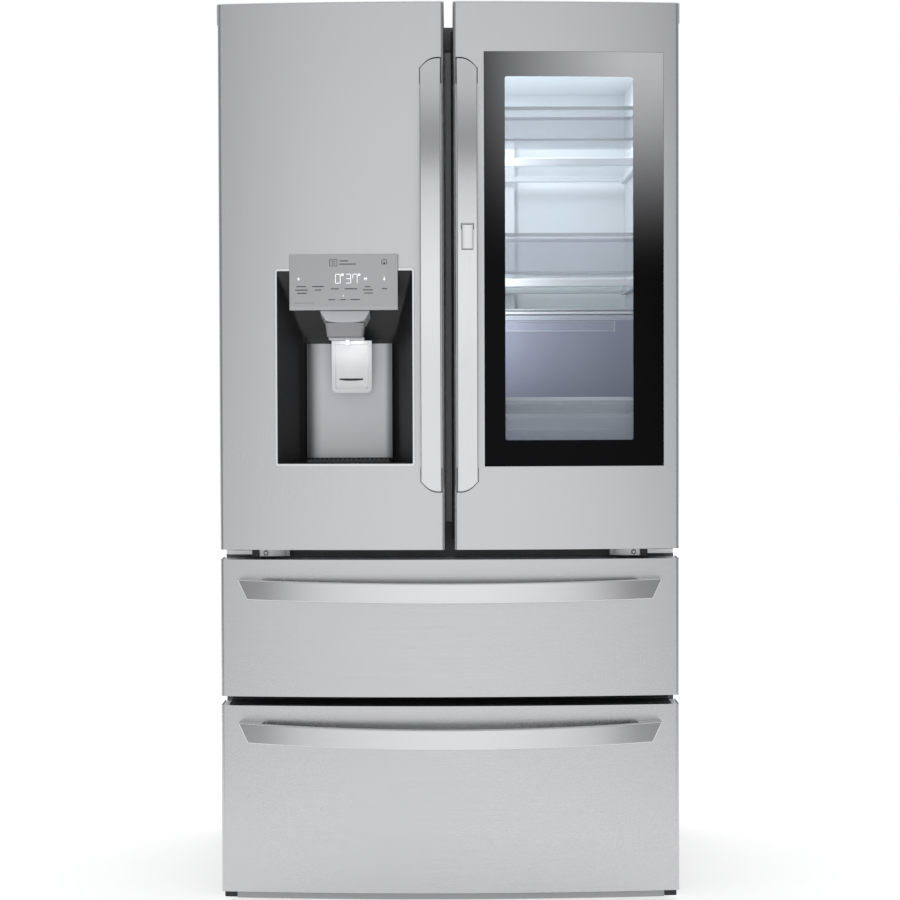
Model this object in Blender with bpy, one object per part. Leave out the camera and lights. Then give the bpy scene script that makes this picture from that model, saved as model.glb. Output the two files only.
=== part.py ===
"""French door refrigerator with two doors, a window door in the right one, and two freezer drawers.

Metres. +X is the viewer's right, the fronts face -Y and +Z is up, with the floor at z = 0.
Every sub-part is one object. Pieces that move hang from an empty on their joint.
"""

import math

import bmesh
import bpy
from mathutils import Matrix, Vector

# ---- overall sizes -------------------------------------------------------
WIDTH = 0.908  # over the end caps of the doors
HEIGHT = 1.772  # floor to the top of the doors
DEPTH = 0.921  # handles to rear connections
HANDLE_REACH = 0.064  # how far the handles stand off the fronts
BULGE = 0.025  # the fronts bow outwards by this much at the middle
GAP = 0.0003  # between pieces that touch

HALF = WIDTH / 2 - 0.0015  # half width of the fronts
FRONT = -DEPTH / 2 + HANDLE_REACH  # the fronts on the centre line
SHEET = 0.0015  # steel skin
ROUND = 0.007  # radius of a front's vertical corners

# ---- cabinet -------------------------------------------------------------
CASE_FRONT = -0.2795
CASE_REAR = 0.4442
CASE_HALF = 0.4495
CASE_TOP = 1.740
CASE_FLOOR = 0.044
WALL = 0.002  # sheet metal of the cabinet
LINER = 0.003
BAY_HALF = 0.4045  # half width inside a liner
FRESH_Z = (0.745, 1.695)
FRESH_BACK = 0.385
FREEZER_Z = (0.075, 0.655)
FREEZER_BACK = 0.375
STEP_Y, STEP_Z = 0.190, 0.325  # the freezer floor steps up over the compressor
RAIL_Z = (0.370, 0.436)  # cross rail between the freezer drawers

# ---- fronts --------------------------------------------------------------
DOOR_GAP = 0.0085  # half of the gap between the doors
DOOR_REAR = CASE_FRONT - 0.008
DOOR_Z = (0.7015, 1.770)
UPPER_Z = (0.412, 0.682)
LOWER_Z = (0.025, 0.394)
STEP_TOP = 1.7555  # the rear of a door's top is lower, under the hinge arm
STEP_DEPTH = -0.352
PIVOT_X, PIVOT_Y = 0.434, -0.3175
OUTER_REAR = -0.331  # rear face of the window door
OUTER_PIVOT = (0.448, -0.343)
FRAME_FRONT = -0.3275  # front face of the right inner door

# ---- window --------------------------------------------------------------
WINDOW_X = (0.0695, 0.4213)
WINDOW_Z = (0.865, 1.674)
CLEAR_X = (0.100, 0.372)
CLEAR_Z = (0.906, 1.636)

# ---- dispenser -----------------------------------------------------------
TRIM_X = (-0.342, -0.0673)
TRIM_Z = (0.866, 1.253)
HOLE_X = (-0.3395, -0.0698)
HOLE_Z = (0.8685, 1.2505)
CAVITY_BACK = -0.3005
PANEL_X = (-0.312, -0.0997)
PANEL_Z = (1.171, 1.280)
PADDLE_X = (-0.2331, -0.1536)
PADDLE_Z = (1.0098, 1.1132)
PADDLE_Y = (-0.334, -0.328)
PADDLE_AXIS = (-0.331, 1.110)

# ---- handles -------------------------------------------------------------
GRIP_X = (0.0155, 0.0557)  # a door handle, from the gap outwards
GRIP_Z = (0.8165, 1.658)
BUTTON_X = (0.0243, 0.0475)
BUTTON_Z = (1.2835, 1.3345)
BAR_HALF = 0.4157  # half length of a drawer handle
UPPER_BAR = (0.606, 0.645)
LOWER_BAR = (0.325, 0.364)
BAR_THICK = 0.013

# ---- finishes ------------------------------------------------------------
FINISHES = {
    "brushed_steel": ((0.62, 0.62, 0.63), 0.34, 1.0),
    "handle_steel": ((0.68, 0.68, 0.69), 0.26, 1.0),
    "case_paint": ((0.20, 0.20, 0.21), 0.50, 0.0),
    "liner_white": ((0.86, 0.88, 0.90), 0.40, 0.0),
    "foam": ((0.85, 0.78, 0.55), 0.90, 0.0),
    "gasket_rubber": ((0.10, 0.10, 0.11), 0.70, 0.0),
    "dark_plastic": ((0.04, 0.04, 0.045), 0.40, 0.0),
    "grey_plastic": ((0.45, 0.45, 0.46), 0.35, 0.0),
    "panel_silver": ((0.48, 0.49, 0.50), 0.30, 0.6),
    "clear_plastic": ((0.80, 0.88, 0.94), 0.15, 0.0),
    "shelf_glass": ((0.75, 0.86, 0.90), 0.08, 0.0),
    "window_glass": ((0.03, 0.03, 0.035), 0.05, 0.0),
    "hinge_steel": ((0.55, 0.55, 0.56), 0.35, 1.0),
    "black_paint": ((0.02, 0.02, 0.02), 0.50, 0.0),
    "brass": ((0.72, 0.55, 0.25), 0.35, 1.0),
}


def clear_scene():
    for old in list(bpy.data.objects):
        bpy.data.objects.remove(old)


def finish(name):
    found = bpy.data.materials.get(name)
    if found:
        return found
    colour, roughness, metallic = FINISHES[name]
    made = bpy.data.materials.new(name)
    made.use_nodes = True
    shader = made.node_tree.nodes["Principled BSDF"]
    shader.inputs["Base Color"].default_value = (*colour, 1.0)
    shader.inputs["Roughness"].default_value = roughness
    shader.inputs["Metallic"].default_value = metallic
    return made


# ---- shape tools ---------------------------------------------------------
def place(name, shape, look):
    """Put a bmesh in the scene as an object."""
    bmesh.ops.recalc_face_normals(shape, faces=shape.faces)
    mesh = bpy.data.meshes.new(name)
    shape.to_mesh(mesh)
    shape.free()
    made = bpy.data.objects.new(name, mesh)
    bpy.context.scene.collection.objects.link(made)
    if look:
        mesh.materials.append(finish(look))
    return made


def box(name, x, y, z, look=None):
    shape = bmesh.new()
    bmesh.ops.create_cube(shape, size=1.0)
    size = Vector((x[1] - x[0], y[1] - y[0], z[1] - z[0]))
    bmesh.ops.scale(shape, vec=size, verts=shape.verts)
    centre = Vector((x[0] + x[1], y[0] + y[1], z[0] + z[1])) / 2
    bmesh.ops.translate(shape, vec=centre, verts=shape.verts)
    return place(name, shape, look)


def prism(name, outline, axis, span, look=None):
    """An outline pushed along X (y, z points), Y (x, z points) or Z (x, y points)."""
    shape = bmesh.new()
    low, high = span
    if axis == "X":
        corners = [(low, u, v) for u, v in outline]
        push = (high - low, 0, 0)
    elif axis == "Y":
        corners = [(u, low, v) for u, v in outline]
        push = (0, high - low, 0)
    else:
        corners = [(u, v, low) for u, v in outline]
        push = (0, 0, high - low)
    face = shape.faces.new([shape.verts.new(c) for c in corners])
    made = bmesh.ops.extrude_face_region(shape, geom=[face])["geom"]
    moved = [g for g in made if isinstance(g, bmesh.types.BMVert)]
    bmesh.ops.translate(shape, vec=push, verts=moved)
    return place(name, shape, look)


def cylinder(name, centre, axis, radius, length, look=None, segments=24):
    shape = bmesh.new()
    bmesh.ops.create_cone(
        shape, cap_ends=True, segments=segments, radius1=radius, radius2=radius, depth=length
    )
    turn = {"X": Matrix.Rotation(math.pi / 2, 4, "Y"), "Y": Matrix.Rotation(math.pi / 2, 4, "X")}
    bmesh.ops.transform(shape, matrix=turn.get(axis, Matrix.Identity(4)), verts=shape.verts)
    bmesh.ops.translate(shape, vec=centre, verts=shape.verts)
    made = place(name, shape, look)
    for side in made.data.polygons:
        side.use_smooth = len(side.vertices) == 4
    return made


def boolean(target, operation, tools):
    for number, tool in enumerate(tools):
        tool.hide_render = True
        tool.display_type = "WIRE"
        tool.parent = target
        step = target.modifiers.new(f"{operation.lower()}_{number}", "BOOLEAN")
        step.operation = operation
        step.solver = "EXACT"
        step.object = tool
    return target


def cut(target, *tools):
    return boolean(target, "DIFFERENCE", tools)


def join(target, *tools):
    return boolean(target, "UNION", tools)


def keep(target, *tools):
    return boolean(target, "INTERSECT", tools)


def ring(name, x, y, z, border, look):
    """A rectangular frame that faces the front."""
    hole = box(name + "_hole", (x[0] + border, x[1] - border), (y[0] - 0.01, y[1] + 0.01),
               (z[0] + border, z[1] - border))
    return cut(box(name, x, y, z, look), hole)


def tray(name, x, y, z, wall, look):
    """A box that is open at the top."""
    inside = box(name + "_inside", (x[0] + wall, x[1] - wall), (y[0] + wall, y[1] - wall),
                 (z[0] + wall, z[1] + 0.01))
    return cut(box(name, x, y, z, look), inside)


def both(half):
    return (-half, half)


# ---- the bowed fronts ----------------------------------------------------
def bow(x):
    """The y of the fronts' outer surface."""
    return FRONT + BULGE * (x / HALF) ** 2


def steps(low, high, count):
    return [low + (high - low) * n / count for n in range(count + 1)]


def front_outline(x, inset, rear, count):
    """A front seen from above: bowed face, rounded corners and straight sides back to the rear."""
    left, right = x[0] + inset, x[1] - inset
    radius = ROUND - inset
    turn = [(1 - math.cos(a), 1 - math.sin(a)) for a in (0, math.pi / 6, math.pi / 3)]
    start, end = bow(left + radius) + inset, bow(right - radius) + inset
    points = [(left, rear)]
    points += [(left + radius * u, start + radius * v) for u, v in turn]
    points += [(u, bow(u) + inset) for u in steps(left + radius, right - radius, count)]
    points += [(right - radius * u, end + radius * v) for u, v in reversed(turn)]
    return points + [(right, rear)]


def band_outline(x, front, rear, count):
    """A strip that follows the bow, between two offsets from it."""
    across = steps(*x, count)
    return [(u, bow(u) + front) for u in across] + [(u, bow(u) + rear) for u in reversed(across)]


def skin(name, x, z, rear, count):
    outline = front_outline(x, 0, rear, count)
    outline += reversed(front_outline(x, SHEET, rear, count))
    return prism(name, outline, "Z", z, "brushed_steel")


def step_cutter(name, x):
    """Clears the top of a door behind its face, where the hinge arm passes."""
    return box(name, (x[0] - 0.02, x[1] + 0.02), (STEP_DEPTH, -0.15), (STEP_TOP, 1.80))


def door_cap(name, x, side):
    """Top plate and outer skirt of a door, to be joined to its inner piece."""
    outer = side * (WIDTH / 2)
    inner = side * (HALF + GAP)
    skirt_x = (min(outer, inner), max(outer, inner))
    plate = prism(name + "_plate", front_outline(x, 0, OUTER_REAR, 6), "Z", (DOOR_Z[1] + GAP, HEIGHT))
    skirt = box(name + "_skirt", skirt_x, (-0.366, OUTER_REAR), (1.732, HEIGHT))
    tie_x = (min(outer, side * 0.44), max(outer, side * 0.44))
    tie = box(name + "_tie", tie_x, (-0.366, STEP_DEPTH), (DOOR_Z[1] + GAP, HEIGHT))
    return plate, skirt, tie


def inner_front(name, x, z, rear, count):
    """The moulded inner part of a door or drawer, behind its steel skin."""
    outline = front_outline(x, SHEET + GAP, rear, count)
    return prism(name, outline, "Z", z, "liner_white")


# ---- handles -------------------------------------------------------------
def grip_front(z):
    middle = (GRIP_Z[0] + GRIP_Z[1]) / 2
    half = (GRIP_Z[1] - GRIP_Z[0]) / 2
    return -DEPTH / 2 + 0.042 * ((z - middle) / half) ** 2


def door_handle(name, side):
    """An upright strap that bows away from the door, with a solid foot at each end."""
    low, high = GRIP_Z
    foot = FRONT - GAP
    outline = [(grip_front(z), z) for z in steps(low, high, 14)]
    outline += [(foot, high), (foot, high - 0.045)]
    inside = steps(high - 0.062, low + 0.062, 12)
    outline += [(grip_front(z) + BAR_THICK, z) for z in inside]
    outline += [(foot, low + 0.045), (foot, low)]
    near, far = side * GRIP_X[0], side * GRIP_X[1]
    width = far - near
    curve = ((0, 0), (0.35, 0.0008), (0.68, 0.005), (0.9, 0.012), (1, 0.020))
    face = [(near + width * u, high - drop) for u, drop in curve]
    face += [(near + width * u, low + drop) for u, drop in reversed(curve)]
    strap = prism(name, outline, "X", (min(near, far), max(near, far)), "handle_steel")
    return keep(strap, prism(name + "_face", face, "Y", (-0.5, -0.3)))


def drawer_handle(name, z, droop):
    """A level bar that follows the bowed front, its ends cut on a slant."""
    reach = DEPTH / 2

    def front(x):
        return -reach + 0.052 * (x / BAR_HALF) ** 2

    inner = BAR_HALF - 0.070
    outline = [(x, front(x)) for x in steps(-BAR_HALF, BAR_HALF, 16)]
    foot = [(u, bow(u) - 2 * GAP) for u in (BAR_HALF, BAR_HALF - 0.045)]
    outline += foot
    outline += [(x, front(x) + BAR_THICK) for x in steps(inner, -inner, 12)]
    outline += [(-u, v) for u, v in reversed(foot)]

    def sag(x):
        return droop * (1 - (x / BAR_HALF) ** 2)

    face = [(x, z[1] - sag(x)) for x in steps(-BAR_HALF, BAR_HALF, 12)]
    short = BAR_HALF - 0.019
    face += [(x, z[0] - sag(x)) for x in steps(short, -short, 12)]
    bar = prism(name, outline, "Z", (z[0] - 0.03, z[1] + 0.03), "handle_steel")
    return keep(bar, prism(name + "_face", face, "Y", (-0.5, -0.3)))


# ---- cabinet -------------------------------------------------------------
def freezer_outline(grow, front):
    """The freezer seen from the side, stepped over the compressor."""
    low, high = FREEZER_Z[0] - grow, FREEZER_Z[1] + grow
    back, step, floor = FREEZER_BACK + grow, STEP_Y + grow, STEP_Z - grow
    return [(front, low), (step, low), (step, floor), (back, floor), (back, high), (front, high)]


def make_cabinet():
    start = CASE_FRONT + WALL + GAP
    u_shape = [(-CASE_HALF, 0.050), (-CASE_HALF, CASE_TOP), (CASE_HALF, CASE_TOP), (CASE_HALF, 0.050)]
    u_shape += [(x * (1 - WALL / CASE_HALF), z - (WALL if z > 1 else 0)) for x, z in reversed(u_shape)]
    wrapper = prism("cabinet_wrapper", u_shape, "Y", (start, CASE_REAR), "case_paint")

    face = box("cabinet_front_frame", both(CASE_HALF), (CASE_FRONT, CASE_FRONT + WALL),
               (CASE_FLOOR, CASE_TOP), "case_paint")
    through = (CASE_FRONT - 0.01, CASE_FRONT + 0.01)
    cut(face,
        box("opening_fresh", both(BAY_HALF), through, FRESH_Z),
        box("opening_upper", both(BAY_HALF), through, (RAIL_Z[1], FREEZER_Z[1])),
        box("opening_lower", both(BAY_HALF), through, (FREEZER_Z[0], RAIL_Z[0])))

    fresh = box("fresh_food_liner", both(BAY_HALF + LINER), (start, FRESH_BACK + LINER),
                (FRESH_Z[0] - LINER, FRESH_Z[1] + LINER), "liner_white")
    cut(fresh, box("fresh_space", both(BAY_HALF), (-0.30, FRESH_BACK), FRESH_Z))

    freezer = prism("freezer_liner", freezer_outline(LINER, start), "X", both(BAY_HALF + LINER), "liner_white")
    cut(freezer, prism("freezer_space", freezer_outline(0, start - 0.03), "X", both(BAY_HALF)))

    foam = box("cabinet_insulation", both(CASE_HALF - WALL - GAP), (start, CASE_REAR),
               (0.050, CASE_TOP - WALL - GAP), "foam")
    around = LINER + GAP
    cut(foam,
        box("fresh_pocket", both(BAY_HALF + around), (-0.30, FRESH_BACK + around),
            (FRESH_Z[0] - around, FRESH_Z[1] + around)),
        prism("freezer_pocket", freezer_outline(around, start - 0.0015), "X", both(BAY_HALF + around)),
        box("compressor_bay", both(0.47), (0.205, 0.50), (0.0, 0.309)))
    return [wrapper, face, fresh, freezer, foam]


def make_base():
    pan = box("base_pan", both(CASE_HALF), (CASE_FRONT + WALL + GAP, CASE_REAR),
              (CASE_FLOOR, 0.050 - GAP), "black_paint")
    for side in (-1, 1):
        x = sorted((side * 0.350, side * 0.356))
        join(pan, box(f"roller_lug_{side}", x, (0.350, 0.370), (0.012, 0.046)))
    cut(pan, cylinder("axle_hole", (0, 0.36, 0.021), "X", 0.0056, 0.9, segments=16))

    rollers = cylinder("rear_rollers", (0, 0.36, 0.021), "X", 0.005, 0.80, "dark_plastic", 16)
    for side in (-1, 1):
        join(rollers, cylinder(f"wheel_{side}", (side * 0.378, 0.36, 0.021), "X", 0.021, 0.020))

    feet = []
    for name, side in (("front_foot_left", -1), ("front_foot_right", 1)):
        foot = cylinder(name, (side * 0.434, -0.262, 0.007), "Z", 0.0145, 0.014, "dark_plastic")
        feet.append(join(foot, cylinder(name + "_stem", (side * 0.434, -0.262, 0.0275), "Z", 0.006, 0.032)))

    kick = box("kick_trim", both(0.418), (-0.2790, -0.2600), (0.013, CASE_FLOOR - GAP), "grey_plastic")

    back = box("cabinet_back", both(CASE_HALF), (CASE_REAR + GAP, CASE_REAR + GAP + WALL),
               (0.310, CASE_TOP), "case_paint")
    cover = box("compressor_cover", both(CASE_HALF), (CASE_REAR + GAP, CASE_REAR + GAP + WALL),
                (CASE_FLOOR, 0.310 - GAP), "case_paint")
    for row in range(5):
        z = 0.110 + 0.032 * row
        cut(cover, box(f"louvre_{row}", (-0.30, 0.10), (0.43, 0.46), (z, z + 0.012)))

    pump = cylinder("compressor", (0.24, 0.325, 0.135), "Z", 0.078, 0.150, "black_paint", 28)
    join(pump, box("compressor_foot", (0.15, 0.33), (0.245, 0.405), (0.050 + GAP, 0.064)))

    water = cylinder("water_inlet", (0.33, 0.4536, 0.350), "Y", 0.0105, 0.0138, "brass")
    join(water, box("water_flange", (0.310, 0.350), (CASE_REAR + GAP + WALL + GAP, 0.4500), (0.330, 0.370)))
    power = box("power_inlet", (-0.345, -0.295), (CASE_REAR + GAP + WALL + GAP, 0.4530),
                (0.330, 0.370), "dark_plastic")
    join(power, cylinder("cord_gland", (-0.32, 0.4555, 0.350), "Y", 0.009, 0.010))
    return [pan, *feet, kick, back, cover, pump, water, power], rollers


def make_hinges():
    made = []
    for label, side in (("left", -1), ("right", 1)):
        def span(a, b):
            return tuple(sorted((side * a, side * b)))

        top = box(f"top_hinge_{label}", span(0.350, 0.4485), (-0.2790, -0.150),
                  (CASE_TOP + GAP, 1.7690), "grey_plastic")
        arm = box(f"top_arm_{label}", span(PIVOT_X - 0.007, PIVOT_X + 0.007), (PIVOT_Y - 0.007, -0.270),
                  (1.7580, 1.7640))
        pin = cylinder(f"top_pin_{label}", (side * PIVOT_X, PIVOT_Y, 1.7590), "Z", 0.0055, 0.0064, None, 16)
        made.append(join(top, arm, pin))

        middle = box(f"centre_hinge_{label}", span(0.318, 0.379), (-0.2900, CASE_FRONT - GAP),
                     (0.6845, 0.7000), "hinge_steel")
        arm = box(f"centre_arm_{label}", span(0.330, 0.443), (PIVOT_Y - 0.009, -0.2860), (0.6920, 0.6965))
        pin = cylinder(f"centre_pin_{label}", (side * PIVOT_X, PIVOT_Y, 0.6980), "Z", 0.0060, 0.0060, None, 16)
        made.append(join(middle, arm, pin))
    return made


def make_interior():
    duct = box("air_duct", both(0.150), (0.350, FRESH_BACK - GAP), (0.995, 1.600), "liner_white")
    for row in range(3):
        z = 1.10 + 0.17 * row
        cut(duct, box(f"vent_{row}", both(0.10), (0.34, 0.362), (z, z + 0.02)))
    shelves = []
    for name, z in (("shelf_upper", 1.497), ("shelf_lower", 1.243)):
        shelf = box(name, both(BAY_HALF - GAP), (-0.045, 0.345), (z, z + 0.005), "shelf_glass")
        shelves.append(join(shelf, box(name + "_edge", both(BAY_HALF - GAP), (-0.055, -0.040),
                                       (z - 0.010, z + 0.007))))
    side = BAY_HALF - GAP
    hanger = [(-side, 1.186), (side, 1.186), (side, 1.156), (side - 0.007, 1.156), (side - 0.007, 1.159),
              (side - 0.003, 1.159), (side - 0.003, 1.180), (0.0015, 1.180), (0.0015, 1.159),
              (0.006, 1.159), (0.006, 1.156), (-0.006, 1.156), (-0.006, 1.159), (-0.0015, 1.159),
              (-0.0015, 1.180), (-side + 0.003, 1.180), (-side + 0.003, 1.159), (-side + 0.007, 1.159),
              (-side + 0.007, 1.156), (-side, 1.156)]
    cover = prism("crisper_cover", hanger, "Y", (-0.055, 0.345), "shelf_glass")
    return [duct, *shelves, cover]


def make_crispers():
    """The clear drawers inside, hung or standing under the lowest shelf."""
    made = []
    for name, x in (("crisper_left", (-0.3965, -0.0070)), ("crisper_right", (0.0070, 0.3965))):
        drawer = box(name, x, (-0.060, 0.330), (0.985, 1.172), "clear_plastic")
        lip = box(name + "_lip", (x[0] - 0.0035, x[1] + 0.0035), (-0.060, 0.330), (1.1593, 1.1625))
        inside = box(name + "_hollow", (x[0] + 0.003, x[1] - 0.003), (-0.057, 0.327), (0.988, 1.20))
        join(drawer, lip)
        made.append(cut(drawer, inside))
    made.append(tray("pantry_drawer", both(0.3965), (-0.060, 0.330), (FRESH_Z[0] + GAP, 0.965), 0.003,
                     "clear_plastic"))
    return made


# ---- left door -----------------------------------------------------------
def make_left_door():
    x = (-HALF, -DOOR_GAP)
    face = skin("left_door_skin", x, DOOR_Z, DOOR_REAR, 7)
    hole = (HOLE_X[0], HOLE_X[1])
    cut(face,
        box("dispenser_hole", hole, (-0.45, -0.33), HOLE_Z),
        step_cutter("left_skin_step", x))

    inner = inner_front("left_door_inner", x, (0.7035, DOOR_Z[1] + GAP + 0.0005), DOOR_REAR, 7)
    dyke = box("left_dyke", (-0.395, -0.045), (DOOR_REAR - 0.005, -0.215), (0.757, 1.683))
    join(inner, *door_cap("left_cap", x, -1), dyke)
    cut(inner,
        step_cutter("left_inner_step", x),
        box("left_dyke_space", (-0.383, -0.057), (DOOR_REAR, -0.20), (0.769, 1.671)),
        box("dispenser_pocket", hole, (-0.45, CAVITY_BACK + 0.004 + GAP), HOLE_Z))

    seal = ring("left_door_gasket", (-0.432, -0.022), (DOOR_REAR + GAP, CASE_FRONT - GAP),
                (0.716, 1.731), 0.018, "gasket_rubber")
    grip = door_handle("left_handle", -1)
    ice = box("ice_compartment", (-0.3825, -0.0575), (DOOR_REAR + GAP, -0.160), (1.270, 1.6705), "liner_white")
    cut(ice,
        box("ice_space", (-0.3785, -0.0615), (DOOR_REAR + 0.004, -0.164), (1.274, 1.6665)),
        box("ice_opening", (-0.340, -0.100), (-0.18, -0.15), (1.330, 1.620)))
    shelf = tray("left_door_bin", (-0.3825, -0.0575), (DOOR_REAR + GAP, -0.160), (0.800, 0.930), 0.003,
                 "clear_plastic")
    return [face, inner, seal, grip, ice, shelf]


def frustum(name, front, back):
    """A tapered block between two upright rectangles, given as (y, x span, z span)."""
    shape = bmesh.new()
    rims = []
    for y, x, z in (front, back):
        corners = [(x[0], y, z[0]), (x[1], y, z[0]), (x[1], y, z[1]), (x[0], y, z[1])]
        rims.append([shape.verts.new(c) for c in corners])
    shape.faces.new(rims[0])
    shape.faces.new(rims[1])
    for n in range(4):
        m = (n + 1) % 4
        shape.faces.new((rims[0][n], rims[0][m], rims[1][m], rims[1][n]))
    return place(name, shape, None)


def make_dispenser():
    inside_x = (HOLE_X[0] + GAP, HOLE_X[1] - GAP)
    inside_z = (HOLE_Z[0] + GAP, HOLE_Z[1] - GAP)
    across = steps(*inside_x, 5)
    outline = [(u, bow(u) + 0.0005) for u in across]
    outline += [(inside_x[1], CAVITY_BACK + 0.004), (inside_x[0], CAVITY_BACK + 0.004)]
    housing = prism("dispenser_housing", outline, "Z", inside_z, "dark_plastic")
    near = (-0.400, (-0.3364, -0.0726), (0.872, 1.247))
    far = (CAVITY_BACK, (-0.287, -0.110), (0.872, 1.112))
    cut(housing, frustum("dispenser_space", near, far))

    def ceiling(y):
        share = (y - near[0]) / (far[0] - near[0])
        return near[2][1] + share * (far[2][1] - near[2][1]) - 2 * GAP

    trim = prism("dispenser_trim", band_outline(TRIM_X, -0.0020, -0.0005, 5), "Z", TRIM_Z, "panel_silver")
    cut(trim, box("trim_hole", (TRIM_X[0] + 0.0055, TRIM_X[1] - 0.0055), (-0.5, -0.3),
                  (TRIM_Z[0] + 0.0055, TRIM_Z[1] - 0.0055)))
    panel = prism("dispenser_panel", band_outline(PANEL_X, -0.0130, -0.0024, 5), "Z", PANEL_Z, "panel_silver")
    back = box("dispenser_back", (-0.282, -0.115), (CAVITY_BACK - 0.0027, CAVITY_BACK - GAP),
               (0.8805, 1.1080), "panel_silver")

    chute_side = [(-0.386, 1.147), (-0.386, ceiling(-0.386)), (-0.330, ceiling(-0.330)), (-0.330, 1.147)]
    chute = prism("ice_chute", chute_side, "X", (-0.2537, -0.1546), "grey_plastic")
    join(chute,
         box("chute_neck", (-0.2439, -0.1654), (-0.378, -0.330), (1.1195, 1.148)),
         box("chute_lip", (-0.2370, -0.1670), (-0.372, -0.3285), (1.1140, 1.1205)),
         cylinder("water_nozzle", (-0.2008, -0.352, 1.1100), "Z", 0.004, 0.012, None, 16))
    drip = tray("drip_tray", (-0.283, -0.114), (-0.372, -0.3040), (0.8723, 0.8785), 0.002, "dark_plastic")

    paddle = box("dispenser_paddle", PADDLE_X, PADDLE_Y, PADDLE_Z, "grey_plastic")
    cut(paddle, box("paddle_recess", (PADDLE_X[0] + 0.007, PADDLE_X[1] - 0.007),
                    (PADDLE_Y[0] - 0.01, PADDLE_Y[0] + 0.003), (PADDLE_Z[0] + 0.009, PADDLE_Z[1] - 0.014)))
    return [housing, trim, panel, back, chute, drip], paddle


def make_flipper():
    """The folding bar on the left door that closes the gap between the doors."""
    x, y, radius = -0.0355, -0.2707, 0.0085
    turn = [math.radians(a) for a in (270, 240, 210, 180, 150, 120, 90)]
    outline = [(x + radius * math.cos(a), y + radius * math.sin(a)) for a in turn]
    outline += [(-0.002, y + radius), (0.0054, y - 0.001), (0.0054, y - radius)]
    return prism("flipper_mullion", outline, "Z", (0.750, 1.690), "case_paint")


# ---- right door ----------------------------------------------------------
def make_right_frame():
    x = (DOOR_GAP, HALF)
    frame = box("right_door_frame", x, (FRAME_FRONT, DOOR_REAR), (DOOR_Z[0], STEP_TOP), "liner_white")
    join(frame, box("right_dyke", (0.045, 0.395), (DOOR_REAR - 0.005, -0.215), (0.757, 1.683)))
    cut(frame, box("bin_opening", (0.060, 0.380), (-0.40, -0.20), (0.790, 1.660)))
    seal = ring("right_door_gasket", (0.022, 0.432), (DOOR_REAR + GAP, CASE_FRONT - GAP),
                (0.716, 1.731), 0.018, "gasket_rubber")
    bins = []
    for name, z in (("right_bin_top", (1.508, 1.576)), ("right_bin_middle", (1.245, 1.326)),
                    ("right_bin_bottom", (0.893, 1.000))):
        bins.append(tray(name, (0.0603, 0.3797), (FRAME_FRONT, -0.160), z, 0.003, "clear_plastic"))
    return [frame, seal, *bins]


def make_window_door():
    x = (DOOR_GAP, HALF)
    face = skin("window_door_skin", x, DOOR_Z, OUTER_REAR, 7)
    hole_x = (WINDOW_X[0] - GAP, WINDOW_X[1] + GAP)
    hole_z = (WINDOW_Z[0] - GAP, WINDOW_Z[1] + GAP)
    cut(face,
        box("window_hole", hole_x, (-0.45, OUTER_REAR + 0.02), hole_z),
        step_cutter("window_skin_step", x))

    inner = inner_front("window_door_inner", x, (0.7035, DOOR_Z[1] + GAP + 0.0005), OUTER_REAR, 7)
    join(inner, *door_cap("window_cap", x, 1))
    across = steps(*hole_x, 6)
    pocket = [(hole_x[0], -0.45), (hole_x[1], -0.45)] + [(u, bow(u) + 0.0042) for u in reversed(across)]
    cut(inner,
        step_cutter("window_inner_step", x),
        prism("glass_pocket", pocket, "Z", hole_z),
        box("window_opening", CLEAR_X, (-0.45, -0.30), CLEAR_Z))

    glass = prism("window_glass", band_outline(WINDOW_X, -0.0006, 0.0034, 6), "Z", WINDOW_Z, "window_glass")
    seal = ring("window_door_gasket", (0.026, 0.436), (OUTER_REAR + GAP, FRAME_FRONT - GAP),
                (0.722, 1.738), 0.016, "gasket_rubber")
    grip = door_handle("right_handle", 1)
    middle = grip_front(sum(BUTTON_Z) / 2)
    cut(grip, box("button_pocket", (BUTTON_X[0] - 0.0004, BUTTON_X[1] + 0.0004), (-0.50, middle + 0.0085),
                  (BUTTON_Z[0] - 0.0004, BUTTON_Z[1] + 0.0004)))
    button = box("latch_button", BUTTON_X, (middle - 0.0012, middle + 0.0040), BUTTON_Z, "panel_silver")
    return [face, inner, glass, seal, grip], button


# ---- drawers -------------------------------------------------------------
def make_drawer(label, z, handle_z, droop, basket_z, basket_back):
    x = both(HALF)
    face = skin(f"{label}_drawer_skin", x, z, DOOR_REAR, 12)
    inner = inner_front(f"{label}_drawer_inner", x, (z[0] + 0.0025, z[1] - 0.0025), DOOR_REAR, 12)
    seal = ring(f"{label}_drawer_seal", both(0.432), (DOOR_REAR - 0.004, CASE_FRONT - GAP),
                (z[0] + 0.008, z[1] - 0.008), 0.014, None)
    join(inner, seal)
    bar = drawer_handle(f"{label}_drawer_handle", handle_z, droop)
    y = (DOOR_REAR + GAP, basket_back)
    basket = box(f"{label}_basket", both(0.385), y, basket_z, "clear_plastic")
    runner_z = (basket_z[0] + 0.09, basket_z[0] + 0.115)
    join(basket, box(f"{label}_runner", both(0.4035), (CASE_FRONT + 0.02, basket_back - 0.01), runner_z))
    cut(basket, box(f"{label}_basket_space", both(0.382), (y[0] + 0.003, y[1] - 0.003),
                    (basket_z[0] + 0.003, basket_z[1] + 0.01)))
    return [face, inner, bar, basket]


def make_lower_tray():
    slider = box("freezer_tray", both(0.3805), (-0.270, -0.020), (0.275, 0.3590), "clear_plastic")
    join(slider, box("tray_lips", both(0.3850), (-0.270, -0.020), (0.3553, 0.3590)))
    return cut(slider, box("tray_space", both(0.3775), (-0.267, -0.023), (0.278, 0.370)))


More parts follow.
